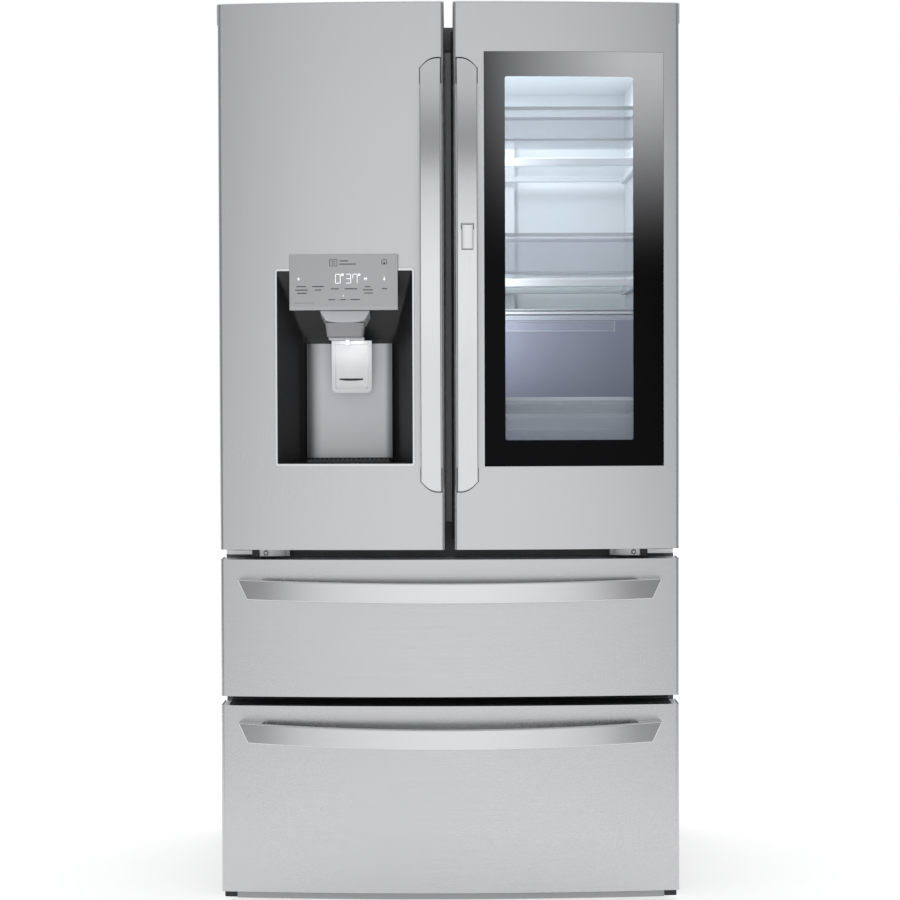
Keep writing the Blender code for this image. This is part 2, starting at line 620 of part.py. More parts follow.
# ---- assembly ------------------------------------------------------------
def hang(pivot_name, point, pieces, parent=None):
    """Parent the pieces of one moving body to an empty on its joint."""
    pivot = bpy.data.objects.new(pivot_name, None)
    bpy.context.scene.collection.objects.link(pivot)
    pivot.empty_display_size = 0.05
    pivot.location = point
    if parent:
        pivot.parent = parent
        pivot.matrix_parent_inverse = Matrix.Translation(-Vector(parent["point"]))
    pivot["point"] = point
    for piece in pieces:
        piece.parent = pivot
        piece.matrix_parent_inverse = Matrix.Translation(-Vector(point))
    return pivot


def main():
    clear_scene()
    make_cabinet()
    _, rollers = make_base()
    make_hinges()
    make_interior()
    hang("roller_axle", (0.0, 0.36, 0.021), [rollers])

    dispenser, paddle = make_dispenser()
    left = hang("left_door_pivot", (-PIVOT_X, PIVOT_Y, 0.0), make_left_door() + dispenser)
    hang("paddle_pivot", (-0.193, *PADDLE_AXIS), [paddle], left)
    hang("flipper_pivot", (-0.0355, -0.2707, 0.0), [make_flipper()], left)

    right = hang("right_door_pivot", (PIVOT_X, PIVOT_Y, 0.0), make_right_frame())
    window, button = make_window_door()
    outer = hang("window_door_pivot", (*OUTER_PIVOT, 0.0), window, right)
    hang("latch_slide", (sum(BUTTON_X) / 2, grip_front(1.309), 1.309), [button], outer)

    upper = make_drawer("upper", UPPER_Z, UPPER_BAR, 0.005, (0.445, 0.640), 0.355)
    hang("upper_drawer_slide", (0.0, DOOR_REAR, 0.55), upper)
    lower = make_drawer("lower", LOWER_Z, LOWER_BAR, 0.008, (0.085, 0.355), 0.170)
    slide = hang("lower_drawer_slide", (0.0, DOOR_REAR, 0.22), lower)
    hang("freezer_tray_slide", (0.0, -0.270, 0.355), [make_lower_tray()], slide)
    for drawer in make_crispers():
        hang(drawer.name + "_slide", (0.0, -0.060, 1.0), [drawer])


main()
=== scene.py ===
# %% [markdown]
# # A french door refrigerator
#
# Two tall doors close over the fresh food compartment, and two wide drawers
# over the freezer. The right door carries a smaller door with a mirrored
# window. Every outer front is one brushed steel sheet that bows gently
# outwards, and that bow is the shape the eye reads first.
#
# The engineering model is loaded as a fixed frame. Each step then either gives
# one of its pieces a finer finish, or replaces it with a better modelled one.

import math

import bmesh
import bpy
from mathutils import Matrix, Vector


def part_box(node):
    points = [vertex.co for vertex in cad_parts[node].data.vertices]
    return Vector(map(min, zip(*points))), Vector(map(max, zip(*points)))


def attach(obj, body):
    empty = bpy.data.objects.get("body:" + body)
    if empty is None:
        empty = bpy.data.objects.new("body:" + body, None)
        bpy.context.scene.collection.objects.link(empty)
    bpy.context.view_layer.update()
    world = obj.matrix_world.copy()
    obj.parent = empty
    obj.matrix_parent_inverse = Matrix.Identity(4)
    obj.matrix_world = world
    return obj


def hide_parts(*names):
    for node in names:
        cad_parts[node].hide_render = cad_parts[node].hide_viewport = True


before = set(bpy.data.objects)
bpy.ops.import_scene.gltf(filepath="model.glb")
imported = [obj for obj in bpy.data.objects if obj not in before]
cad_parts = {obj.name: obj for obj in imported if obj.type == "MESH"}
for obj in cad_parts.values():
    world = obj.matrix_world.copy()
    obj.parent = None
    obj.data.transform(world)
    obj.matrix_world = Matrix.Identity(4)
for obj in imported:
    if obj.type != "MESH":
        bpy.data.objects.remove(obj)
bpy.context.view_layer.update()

# %% [markdown]
# ## Working in edit mode from a script
#
# Modelling by hand is a round of select, then act. A script can do the same:
# `pick` selects by place and direction, as the mouse would, and Blender's own
# operators do the work. Everything is deselected first, because an operator
# acts on all that is selected, and the loaded frame arrives selected.

# %% Start a piece and pick parts of it
def alone(piece):
    """Makes one object the only selected one."""
    bpy.ops.object.select_all(action="DESELECT")
    piece.select_set(True)
    bpy.context.view_layer.objects.active = piece
    return piece


def settle(name):
    """Names the new object and moves its place into its mesh."""
    piece = bpy.context.object
    piece.name = piece.data.name = name
    alone(piece)
    bpy.ops.object.transform_apply(location=True, rotation=True, scale=True)
    return piece


def block(name, x, y, z):
    """A box between two places on each axis."""
    bpy.ops.object.select_all(action="DESELECT")
    spans = (x, y, z)
    bpy.ops.mesh.primitive_cube_add(
        size=1, location=[(a + b) / 2 for a, b in spans], scale=[abs(b - a) for a, b in spans])
    return settle(name)


def rod(name, centre, axis, radius, length, sides=32):
    """A round bar along one axis."""
    bpy.ops.object.select_all(action="DESELECT")
    turn = {"x": (0, math.pi / 2, 0), "y": (math.pi / 2, 0, 0), "z": (0, 0, 0)}[axis]
    bpy.ops.mesh.primitive_cylinder_add(
        vertices=sides, radius=radius, depth=length, location=centre, rotation=turn)
    return settle(name)


def edit(piece):
    alone(piece)
    bpy.ops.object.mode_set(mode="EDIT")
    bpy.ops.mesh.select_all(action="DESELECT")


def done():
    bpy.ops.object.mode_set(mode="OBJECT")


def pick(kind, test):
    """Selects only the faces, edges or points whose middle and direction pass a test."""
    mesh = bpy.context.object.data
    bpy.ops.mesh.select_mode(type={"faces": "FACE", "edges": "EDGE", "points": "VERT"}[kind])
    bpy.ops.mesh.select_all(action="DESELECT")
    shape = bmesh.from_edit_mesh(mesh)
    if kind == "faces":
        chosen = [f for f in shape.faces if test(f.calc_center_median(), f.normal)]
    elif kind == "edges":
        chosen = []
        for edge in shape.edges:
            a, b = (v.co for v in edge.verts)
            if test((a + b) / 2, (b - a).normalized()):
                chosen.append(edge)
    else:
        chosen = [v for v in shape.verts if test(v.co)]
    for part in chosen:
        part.select_set(True)
    bmesh.update_edit_mesh(mesh)
    return len(chosen)


# %% Cut, push and round
def evenly(start, end, count):
    """The places that divide a stretch into so many equal parts, with both ends."""
    return [start + (end - start) * n / count for n in range(count + 1)]


def slice_at(axis, places):
    """Cuts right through the piece being edited, at places along one axis."""
    normal = Vector([float(axis == name) for name in "xyz"])
    for place in places:
        bpy.ops.mesh.select_all(action="SELECT")
        bpy.ops.mesh.bisect(plane_co=normal * place, plane_no=normal)


def push(test, move):
    """Moves each row of the points that pass a test by what move() says of that row."""
    mesh = bpy.context.object.data
    bpy.ops.mesh.select_mode(type="VERT")
    rows = {}
    for point in bmesh.from_edit_mesh(mesh).verts:
        if test(point.co):
            shift = tuple(round(s, 6) for s in move(point.co))
            rows.setdefault(shift, []).append(point.index)
    for shift, row in rows.items():
        bpy.ops.mesh.select_all(action="DESELECT")
        shape = bmesh.from_edit_mesh(mesh)
        shape.verts.ensure_lookup_table()
        for index in row:
            shape.verts[index].select_set(True)
        bmesh.update_edit_mesh(mesh)
        bpy.ops.transform.translate(value=shift)


def press(width, shift):
    """Insets the picked faces and moves them, for a dish, a step or a groove."""
    bpy.ops.mesh.inset(thickness=width)
    bpy.ops.transform.translate(value=shift)


def extrude(shift):
    """Pulls the picked faces out, with new sides behind them."""
    bpy.ops.mesh.extrude_region_move(TRANSFORM_OT_translate={"value": shift})


def round_off(radius, segments, kind="EDGES"):
    """Rounds the picked edges or, with "VERTICES", the picked corners of a flat face."""
    bpy.ops.mesh.bevel(offset=radius, segments=segments, affect=kind)


def take_away(test):
    """Deletes the faces that pass a test."""
    pick("faces", test)
    bpy.ops.mesh.delete(type="FACE")


def always(*_):
    return True


def use(piece, kind, **settings):
    """Adds one modifier and applies it."""
    alone(piece)
    step = piece.modifiers.new(kind.lower(), kind)
    for key, value in settings.items():
        setattr(step, key, value)
    bpy.ops.object.modifier_apply(modifier=step.name)
    return piece


def soften(piece, width, segments=3, angle=32):
    """Rounds every sharp edge a little. Hardened normals keep the flat faces flat to the light."""
    alone(piece)
    bpy.ops.object.shade_smooth()
    return use(piece, "BEVEL", width=width, segments=segments, limit_method="ANGLE",
               angle_limit=math.radians(angle), harden_normals=True)


def thicken(piece, thickness):
    """Gives a sheet its thickness, on the side away from its faces."""
    return use(piece, "SOLIDIFY", thickness=thickness, offset=-1.0, use_even_offset=True)


def smooth(piece, angle=35):
    alone(piece)
    bpy.ops.object.shade_smooth_by_angle(angle=math.radians(angle))
    return piece


def weld(name, *pieces):
    """Joins several finished meshes into one object."""
    bpy.ops.object.select_all(action="DESELECT")
    for piece in pieces:
        piece.select_set(True)
    bpy.context.view_layer.objects.active = pieces[0]
    bpy.ops.object.join()
    pieces[0].name = pieces[0].data.name = name
    return pieces[0]


placed = {}


def fit(piece, body, finish, slot, *nodes):
    """Gives a finished piece its material and its body, and hides the nodes it stands for."""
    piece.data.materials.clear()
    piece.data.materials.append(finish)
    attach(piece, body)
    if nodes:
        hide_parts(*nodes)
    placed[piece.name] = len(piece.data.polygons)
    return piece


# %% [markdown]
# ## Finishes
#
# Brushed steel is metal with thousands of fine scratches that all run one way.
# The scratches could be an image, but noise stretched along one axis gives
# them at any distance and never repeats. It is read from Object coordinates,
# and every piece sits at the origin, so the grain keeps its real scale.
# A small class lets the maths of a material be written as plain expressions.

# %% A socket that can be calculated with
class Socket:
    """One socket of a material. The signs + - * add Math nodes."""

    def __init__(self, tree, out):
        self.tree, self.out = tree, out

    def node(self, kind, settings=None, values=None, output=0):
        """Adds any node: first its settings, then the values or links of its sockets."""
        made = self.tree.nodes.new("ShaderNode" + kind)
        for key, value in (settings or {}).items():
            if key == "stops":
                ramp = made.color_ramp.elements
                while len(ramp) < len(value):
                    ramp.new(0.5)
                for stop, (place, colour) in zip(ramp, value):
                    stop.position, stop.color = place, (*colour, 1.0)
            else:
                setattr(made, key, value)
        for key, value in (values or {}).items():
            socket = made.inputs[key]
            if isinstance(value, Socket):
                self.tree.links.new(value.out, socket)
            else:
                socket.default_value = value
        return Socket(self.tree, made.outputs[output])

    def maths(self, operation, a, b=0.0):
        return self.node("Math", {"operation": operation}, {0: a, 1: b})

    def __add__(self, other):
        return self.maths("ADD", self, other)

    def __radd__(self, other):
        return self.maths("ADD", other, self)

    def __sub__(self, other):
        return self.maths("SUBTRACT", self, other)

    def __rsub__(self, other):
        return self.maths("SUBTRACT", other, self)

    def __mul__(self, other):
        return self.maths("MULTIPLY", self, other)

    def __rmul__(self, other):
        return self.maths("MULTIPLY", other, self)

    def step(self, edge, soft):
        """0 below an edge and 1 above it, changing over a soft width."""
        return self.node("MapRange", {"interpolation_type": "SMOOTHSTEP"},
                         {0: self, 1: edge - soft, 2: edge + soft})

    def noise(self, scale, stretch=(1, 1, 1), detail=2.0, roughness=0.5):
        """Noise of so many blotches per metre, stretched by axis."""
        place = self.node("Mapping", None, {"Vector": self, "Scale": stretch})
        return self.node("TexNoise", None, {"Vector": place, "Scale": scale, "Detail": detail,
                                            "Roughness": roughness})

    def mix(self, a, b):
        """A colour between two, by this value."""
        return self.node("Mix", {"data_type": "RGBA"},
                         {0: self, 6: a if isinstance(a, Socket) else (*a, 1.0),
                          7: b if isinstance(b, Socket) else (*b, 1.0)}, output=2)

    def bump(self, strength, distance):
        return self.node("Bump", None, {"Height": self, "Strength": strength, "Distance": distance})

    def feeds(self, shader, socket):
        self.tree.links.new(self.out, shader.inputs[socket])


def new_finish(name, **values):
    """A material with fixed values on its shader, and its Object coordinates to work from."""
    made = bpy.data.materials.new("finish_" + name)
    made.use_nodes = True
    shader = made.node_tree.nodes["Principled BSDF"]
    for key, value in values.items():
        socket = shader.inputs[key.replace("_", " ")]
        socket.default_value = (*value, 1.0) if isinstance(value, tuple) else value
    place = made.node_tree.nodes.new("ShaderNodeTexCoord")
    return made, shader, Socket(made.node_tree, place.outputs["Object"])


# %% Steel
SCRATCH = 0.012  # a scratch is about eighty times as long as it is wide


def steel(name, light, dark, roughness, along, grain=0.05):
    """Brushed metal. The brushing runs along one axis."""
    made, shader, place = new_finish(name, Metallic=1.0)
    stretch = [SCRATCH if axis == along else 1.0 for axis in "xyz"]
    fine = place.noise(1300, stretch, 2.0, 0.6)
    broad = place.noise(160, stretch, 2.0)
    cloud = place.noise(2.2, (1, 1, 1), 2.0)
    tone = fine * 0.55 + broad * 0.2 + cloud * 0.25
    contrast = tone.node("MapRange", None, {0: tone, 1: 0.32, 2: 0.68})
    contrast.mix(dark, light).feeds(shader, "Base Color")
    (roughness - 0.04 + fine * grain + cloud * 0.05).feeds(shader, "Roughness")
    fine.bump(0.03, 0.0001).feeds(shader, "Normal")
    return made


door_steel = steel("door_steel", (0.616, 0.616, 0.621), (0.594, 0.594, 0.599), 0.27, "z", 0.02)
drawer_steel = steel("drawer_steel", (0.622, 0.622, 0.627), (0.576, 0.576, 0.581), 0.27, "x", 0.03)
grip_steel = steel("grip_steel", (0.73, 0.73, 0.735), (0.69, 0.69, 0.695), 0.15, "z", 0.02)
bar_steel = steel("bar_steel", (0.73, 0.73, 0.735), (0.69, 0.69, 0.695), 0.15, "x", 0.02)
hinge_steel = steel("hinge_steel", (0.60, 0.60, 0.61), (0.46, 0.46, 0.47), 0.32, "x")
print("steels:", door_steel.name, drawer_steel.name, grip_steel.name, bar_steel.name)


# %% Plastics, paint and rubber
def moulded(name, colour, roughness, scale=1400, depth=0.00008, spread=0.06, **values):
    """Moulded plastic or paint: a fine grain in the surface and a faint change of tone."""
    made, shader, place = new_finish(name, **values)
    grain = place.noise(scale, (1, 1, 1), 2.0)
    cloud = place.noise(5.0, (1, 1, 1), 3.0)
    darker = tuple(c * (1 - spread) for c in colour)
    lighter = tuple(min(1.0, c * (1 + spread)) for c in colour)
    (cloud * 0.7 + grain * 0.3).mix(darker, lighter).feeds(shader, "Base Color")
    (roughness - 0.05 + cloud * 0.06 + grain * 0.04).feeds(shader, "Roughness")
    grain.bump(0.35, depth).feeds(shader, "Normal")
    return made


liner_white = moulded("liner_white", (0.84, 0.855, 0.875), 0.34)
case_paint = moulded("case_paint", (0.165, 0.165, 0.172), 0.46, 700, 0.0002)
dark_plastic = moulded("dark_plastic", (0.022, 0.022, 0.024), 0.34)
mid_plastic = moulded("mid_plastic", (0.018, 0.018, 0.0195), 0.45)
grey_plastic = moulded("grey_plastic", (0.30, 0.30, 0.31), 0.36)
chute_plastic = moulded("chute_plastic", (0.42, 0.42, 0.43), 0.32)
pale_plastic = moulded("pale_plastic", (0.70, 0.71, 0.73), 0.28)
panel_paint = moulded("panel_paint", (0.51, 0.515, 0.525), 0.34, 2400, 0.00004, 0.04, Metallic=0.55)
paddle_white = moulded("paddle_white", (0.90, 0.91, 0.92), 0.30, 1400, 0.00005, 0.03)
cap_grey = moulded("cap_grey", (0.42, 0.42, 0.43), 0.40)
hinge_white = moulded("hinge_white", (0.93, 0.93, 0.93), 0.30)
flipper_grey = moulded("flipper_grey", (0.62, 0.62, 0.63), 0.40)
rubber = moulded("rubber", (0.055, 0.055, 0.058), 0.62)
grey_rubber = moulded("grey_rubber", (0.20, 0.20, 0.21), 0.60)
black_paint = moulded("black_paint", (0.014, 0.014, 0.015), 0.42, 500, 0.0002)
foam_block = moulded("foam_block", (0.72, 0.63, 0.40), 0.88, 260, 0.0008, 0.12)
brass = moulded("brass", (0.68, 0.50, 0.22), 0.30, 900, 0.00006, 0.08, Metallic=1.0)


def clear(name, colour, alpha, roughness=0.12):
    """Clear moulding or glass: mostly see-through, with a trace of flow in it."""
    made, shader, place = new_finish(name, Alpha=alpha, IOR=1.49)
    cloud = place.noise(9.0, (1, 1, 0.3), 2.0)
    cloud.mix(tuple(c * 0.92 for c in colour), colour).feeds(shader, "Base Color")
    (roughness + cloud * 0.05).feeds(shader, "Roughness")
    cloud.bump(0.10, 0.0006).feeds(shader, "Normal")
    return made


bin_clear = clear("bin_clear", (0.80, 0.87, 0.96), 0.22)
bin_rim = clear("bin_rim", (0.86, 0.90, 0.97), 0.62, 0.18)
crisper_blue = clear("crisper_blue", (0.58, 0.60, 0.76), 0.55, 0.15)
shelf_clear = clear("shelf_clear", (0.74, 0.86, 0.88), 0.30, 0.06)
pane_clear = clear("pane_clear", (0.55, 0.60, 0.66), 0.06, 0.02)


def glow(name, colour, strength):
    """A lit surface, a little uneven like a diffuser over small lamps."""
    made, shader, place = new_finish(name, Base_Color=(0.8, 0.8, 0.8), Roughness=0.4,
                                     Emission_Strength=strength)
    patch = place.noise(30.0, (1, 1, 1), 1.0)
    patch.mix(tuple(c * 0.9 for c in colour), colour).feeds(shader, "Emission Color")
    return made


lamp_white = glow("lamp_white", (0.86, 0.93, 1.0), 2.2)
digit_white = glow("digit_white", (0.95, 0.98, 1.0), 0.85)
print(len([m for m in bpy.data.materials if m.name.startswith("finish_")]), "finishes")

# %% [markdown]
# ## The bowed steel fronts
#
# Each front is one sheet: a bowed face with rounded upright corners, and its
# sides folded straight back. It could be drawn in plan and extruded, but a
# plain box shows the steps better. The box loses its back, top and bottom, its
# front corners are rounded, it is cut into upright rows, and each row is pushed
# back by as much as the bow falls away there. Only then does the sheet get its
# thickness, towards the inside, so the outside stays the size it was drawn.

# %% The bow
first_low, first_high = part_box("upper_drawer_skin")
FACE_Y = first_low.y
HALF = first_high.x
BULGE = 0.025
CORNER = 0.007


def fall(x):
    """How far the face lies behind its middle."""
    return BULGE * (x / HALF) ** 2


def bow(x):
    return FACE_Y + fall(x)


print("faces lie at", round(FACE_Y, 4), "half width", round(HALF, 4))


# %% Make a front
def front_sheet(name, node, rows):
    """The bowed sheet of a door or drawer, still without thickness, left in edit mode."""
    low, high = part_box(node)
    sheet = block(name, (low.x, high.x), (FACE_Y, high.y), (low.z, high.z))
    edit(sheet)
    take_away(lambda c, n: n.y > 0.9 or abs(n.z) > 0.9)
    pick("edges", lambda c, d: abs(d.z) > 0.9 and c.y < FACE_Y + 0.001)
    round_off(CORNER, 7)
    slice_at("x", evenly(low.x + CORNER, high.x - CORNER, rows)[1:-1])
    inner = (low.x + CORNER, high.x - CORNER)
    push(lambda p: p.y < FACE_Y + CORNER + 0.0001,
         lambda p: (0, fall(min(max(p.x, inner[0]), inner[1])), 0))
    return sheet


def open_face(x, z):
    """Cuts a rectangular opening through the face being edited."""
    slice_at("x", x)
    slice_at("z", z)
    take_away(lambda c, n: n.y < -0.5 and x[0] < c.x < x[1] and z[0] < c.z < z[1])


def clear_hinge(low_top, depth):
    """Lowers the rear of a door's top edge, where the hinge arm swings."""
    slice_at("z", [low_top])
    slice_at("y", [depth])
    take_away(lambda c, n: c.z > low_top and c.y > depth)


SHEET = 0.0014
GLASS_GAP = 0.0006
STEP_TOP, STEP_DEPTH = 1.7555, -0.352
hole_low, hole_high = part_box("dispenser_housing")
glass_low, glass_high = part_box("window_glass")

left_skin = front_sheet("left_door_steel", "left_door_skin", 20)
open_face((hole_low.x, hole_high.x), (hole_low.z, hole_high.z))
clear_hinge(STEP_TOP, STEP_DEPTH)
done()
right_skin = front_sheet("window_door_steel", "window_door_skin", 20)
open_face((glass_low.x - GLASS_GAP, glass_high.x + GLASS_GAP),
          (glass_low.z - GLASS_GAP, glass_high.z + GLASS_GAP))
clear_hinge(STEP_TOP, STEP_DEPTH)
done()
upper_skin = front_sheet("upper_drawer_steel", "upper_drawer_skin", 36)
done()
lower_skin = front_sheet("lower_drawer_steel", "lower_drawer_skin", 36)
done()
for sheet, body, finish, node in (
        (left_skin, "left_door", door_steel, "left_door_skin"),
        (right_skin, "window_door", door_steel, "window_door_skin"),
        (upper_skin, "upper_drawer", drawer_steel, "upper_drawer_skin"),
        (lower_skin, "lower_drawer", drawer_steel, "lower_drawer_skin")):
    thicken(sheet, SHEET)
    smooth(sheet, 25)
    fit(sheet, body, finish, "brushed_steel", node)
    print(sheet.name, placed[sheet.name], "faces")

# %% [markdown]
# ## Handles
#
# A handle is a flat strap, thick enough to feel solid, that arches away from
# the front and comes back to it in a short foot at each end. The door straps
# are cut away in a curve at their outer corner. The drawer bars follow the bow
# of the drawer, hang a little in the middle, and end on a slant. Each one
# starts as a straight bar, gets its rows, and is then pushed into its arch.

# %% Upright handles
STRAP = 0.013
FOOT = 0.046
GRIP_REACH = 0.042
CUT_START, CUT_DEPTH = 0.15, 0.0205


def across_strap(low, high, side):
    """The edge of a handle beside the gap between the doors, and its outer edge."""
    return (low.x, high.x) if side > 0 else (high.x, low.x)


def end_curve(x, near, far):
    """How much of a strap's end is cut away at one place across it."""
    share = max(0.0, min(1.0, (x - near) / (far - near)) - CUT_START) / (1 - CUT_START)
    return CUT_DEPTH * share ** 2.2


def upright_handle(name, node, side):
    """A strap that arches away from the door, with a foot pulled back to it at each end."""
    low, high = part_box(node)
    near, far = across_strap(low, high, side)
    middle, half = (low.z + high.z) / 2, (high.z - low.z) / 2
    strap = block(name, (low.x, high.x), (low.y, low.y + STRAP), (low.z, high.z))
    edit(strap)
    slice_at("z", [*evenly(low.z, low.z + FOOT, 5)[1:], *evenly(high.z - FOOT, high.z, 5)[:-1],
                   *evenly(low.z + 0.06, high.z - 0.06, 40)])
    slice_at("x", evenly(low.x, high.x, 10)[1:-1])

    def drop(p):
        """The curved end, fading out over the length of the foot."""
        return end_curve(p.x, near, far) * max(0.0, 1 - (half - abs(p.z - middle)) / FOOT)

    push(always, lambda p: (0, 0, math.copysign(drop(p), middle - p.z)))
    back = FACE_Y - 0.0003 - low.y - STRAP
    pick("faces", lambda c, n: n.y > 0.9 and abs(c.z - middle) > half - FOOT)
    extrude((0, back, 0))
    push(lambda p: p.y < low.y + STRAP + 0.001,
         lambda p: (0, GRIP_REACH * ((p.z - middle) / half) ** 2, 0))
    done()
    return soften(strap, 0.0022, 4, 40)


PAD_MARGIN = 0.0014


def foot_seal_and_shade(name, node, side, up):
    """A dark rubber pad around the foot of a handle, where it meets the steel: partly a seal under
    the foot, partly painted shade for the shadow there.
    """
    low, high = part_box(node)
    near, far = across_strap(low, high, side)
    z = (high.z - FOOT, high.z + 4 * PAD_MARGIN) if up else (low.z - 2 * PAD_MARGIN, low.z + FOOT)
    tip, inwards = (z[1], -1) if up else (z[0], 1)
    pad = block(name, (low.x - PAD_MARGIN, high.x + PAD_MARGIN), (FACE_Y - 0.0010, FACE_Y + 0.0004), z)
    edit(pad)
    slice_at("x", evenly(low.x, high.x, 10))
    push(lambda p: abs(p.z - tip) < 0.001,
         lambda p: (0, 0, inwards * end_curve(p.x, near, far)))
    done()
    return pad


# Each handle foot gets a dark pad that also paints the shadow around the foot.
for label, side, body in (("left", -1, "left_door"), ("right", 1, "window_door")):
    for end in ("top", "bottom"):
        seal_and_shade = foot_seal_and_shade(f"{label}_seam_{end}", f"{label}_handle", side, end == "top")
        fit(seal_and_shade, body, rubber, "dark_plastic")
    handle = upright_handle(f"{label}_grip", f"{label}_handle", side)
    fit(handle, body, grip_steel, "handle_steel", f"{label}_handle")
    print(handle.name, placed[handle.name], "faces")


# %% Level handles
BAR_REACH = 0.052
SLANT = 0.019


def level_handle(name, node, droop):
    """A bar that follows the bow, hangs by its droop in the middle and ends on a slant."""
    low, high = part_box(node)
    half = high.x
    bottom = low.z + droop
    rear = low.y + STRAP
    bar = block(name, (-half, half), (low.y, rear), (bottom, high.z))
    edit(bar)
    slice_at("x", [FOOT - half, half - FOOT, *evenly(-half + 0.075, half - 0.075, 36)])
    slice_at("z", evenly(bottom, high.z, 4)[1:-1])
    pick("faces", lambda c, n: n.y > 0.9 and abs(c.x) > half - FOOT)
    extrude((0, 0.02, 0))

    def hang(p):
        return -droop * (1 - (p.x / half) ** 2)

    def slanted(p):
        return math.copysign(SLANT * (high.z - p.z) / (high.z - bottom), -p.x)

    push(lambda p: abs(p.x) > half - 0.001, lambda p: (slanted(p), 0, 0))
    push(lambda p: p.y > rear + 0.001, lambda p: (0, bow(p.x) - 0.0006 - p.y, 0))
    push(lambda p: p.y < rear + 0.0005, lambda p: (0, BAR_REACH * (p.x / half) ** 2, hang(p)))
    push(lambda p: p.y > bow(p.x) - 0.001, lambda p: (0, 0, hang(p)))
    done()
    return soften(bar, 0.0022, 4, 40)


for label, droop in (("upper", 0.005), ("lower", 0.008)):
    handle = level_handle(f"{label}_bar", f"{label}_drawer_handle", droop)
    fit(handle, f"{label}_drawer", bar_steel, "handle_steel", f"{label}_drawer_handle")
    print(handle.name, placed[handle.name], "faces")

# %% The release button in the right handle
# A collar rims the hole in the handle, and two dark lines cross the button.
COLLAR = 0.0011
low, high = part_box("latch_button")
button = block("release_button", (low.x, high.x), (low.y, high.y), (low.z, high.z))
edit(button)
pick("faces", lambda c, n: n.y < -0.9)
press(0.0016, (0, 0.0005, 0))
slice_at("z", [low.z + 0.0036, high.z - 0.0036])
done()
soften(button, 0.0004, 2)
fit(button, "latch_button", grip_steel, "handle_steel", "latch_button")
collar = block("button_collar", (low.x - COLLAR, high.x + COLLAR),
               (low.y + 0.0009, low.y + 0.0030), (low.z - COLLAR, high.z + COLLAR))
edit(collar)
pick("points", lambda p: p.z > high.z)
bpy.ops.transform.translate(value=(0, COLLAR, 0))
done()
fit(collar, "window_door", rubber, "dark_plastic")
for end, z in (("top", high.z - 0.0020), ("bottom", low.z + 0.0020)):
    line = block(f"button_line_{end}", (low.x + 0.0016, high.x - 0.0016),
                 (low.y - 0.0001, low.y + 0.0008), (z - 0.0006, z + 0.0006))
    fit(line, "latch_button", rubber, "dark_plastic")
print(button.name, placed[button.name], "faces")

# %% [markdown]
# ## The mirrored window
#
# The window is one sheet of glass. Its border is coated black on the inside
# and half mirrored, and its middle is clear. Two pieces give the coated edge a
# crisp line that a mask in the material would soften: a border with a rounded
# opening, and a pane behind it.

# %% Border and pane
def mirror_film():
    """Black coated glass with a painted reflection: its mirroring grows stronger towards the top
    outer corner.
    """
    made, shader, place = new_finish("mirror_film", Metallic=1.0)
    sideways = place.node("SeparateXYZ", None, {0: place})
    up = place.node("SeparateXYZ", None, {0: place}, output=2)
    # Painted reflection: the border's base colour brightens upwards and outwards, where the
    # reflection in it is brightest.
    rise = up.maths("POWER", up.step(1.44, 0.23), 1.6)
    side = place.node("MapRange", None, {0: sideways, 1: 0.045, 2: 0.41, 3: 0.04, 4: 1.0})
    cloud = place.noise(3.0, (1, 1, 1), 2.0)
    painted_reflection = rise * side * (0.9 + cloud * 0.2)
    painted_reflection.mix((0.006, 0.006, 0.0065), (0.66, 0.66, 0.67)).feeds(shader, "Base Color")
    (0.08 + cloud * 0.04).feeds(shader, "Roughness")
    return made


film = mirror_film()
CLEAR_X, CLEAR_Z = (0.1100, 0.3615), (0.9160, 1.6260)
LAP = 0.002


def bowed_plate(name, x, z, front, thickness, rows, hole=None, corner=0.0):
    """A flat plate, with an opening if one is given, bent to the bow of the fronts."""
    plate = block(name, x, (front, front + 0.01), z)
    edit(plate)
    take_away(lambda c, n: n.y > -0.9)
    if hole:
        hole_x, hole_z = hole
        open_face(hole_x, hole_z)
        pick("points", lambda p: min(abs(p.x - h) for h in hole_x) < 0.0002
             and min(abs(p.z - h) for h in hole_z) < 0.0002)
        round_off(corner, 6, "VERTICES")
    slice_at("x", evenly(*x, rows)[1:-1])
    push(always, lambda p: (0, bow(p.x), 0))
    done()
    return thicken(plate, thickness)


border = bowed_plate("window_border", (glass_low.x, glass_high.x), (glass_low.z, glass_high.z),
                     -0.0006, 0.0036, 16, (CLEAR_X, CLEAR_Z), 0.004)
smooth(border, 25)
fit(border, "window_door", film, "window_glass")
pane = bowed_plate("window_pane", (CLEAR_X[0] - LAP, CLEAR_X[1] + LAP),
                   (CLEAR_Z[0] - LAP, CLEAR_Z[1] + LAP), 0.0008, 0.0016, 12)
smooth(pane, 25)
fit(pane, "window_door", pane_clear, "window_glass", "window_glass")
print("window", placed[border.name] + placed[pane.name], "faces")

# %% [markdown]
# ## The dispenser
#
# A recess in the left door holds the dispenser. A thin bright frame covers the
# cut edge of the steel. Behind it a dark moulded liner narrows towards the
# back, where it meets a silver panel that curls forward at both sides. The
# control panel stands proud at the top, and below it come the ice chute, the
# water nozzle and a paddle that a glass pushes back.

# %% Frame and liner
low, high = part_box("dispenser_trim")
trim = block("dispenser_frame", (low.x, high.x), (0.0, 0.01), (low.z, high.z))
edit(trim)
take_away(lambda c, n: n.y > -0.9)
pick("points", always)
round_off(0.0065, 6, "VERTICES")
pick("faces", always)
bpy.ops.mesh.inset(thickness=0.0048)
bpy.ops.mesh.delete(type="FACE")
slice_at("x", evenly(low.x, high.x, 14)[1:-1])
push(always, lambda p: (0, bow(p.x) - 0.0024, 0))
done()
thicken(trim, 0.0030)
soften(trim, 0.0007, 3, 40)
fit(trim, "left_door", grip_steel, "handle_steel", "dispenser_trim")

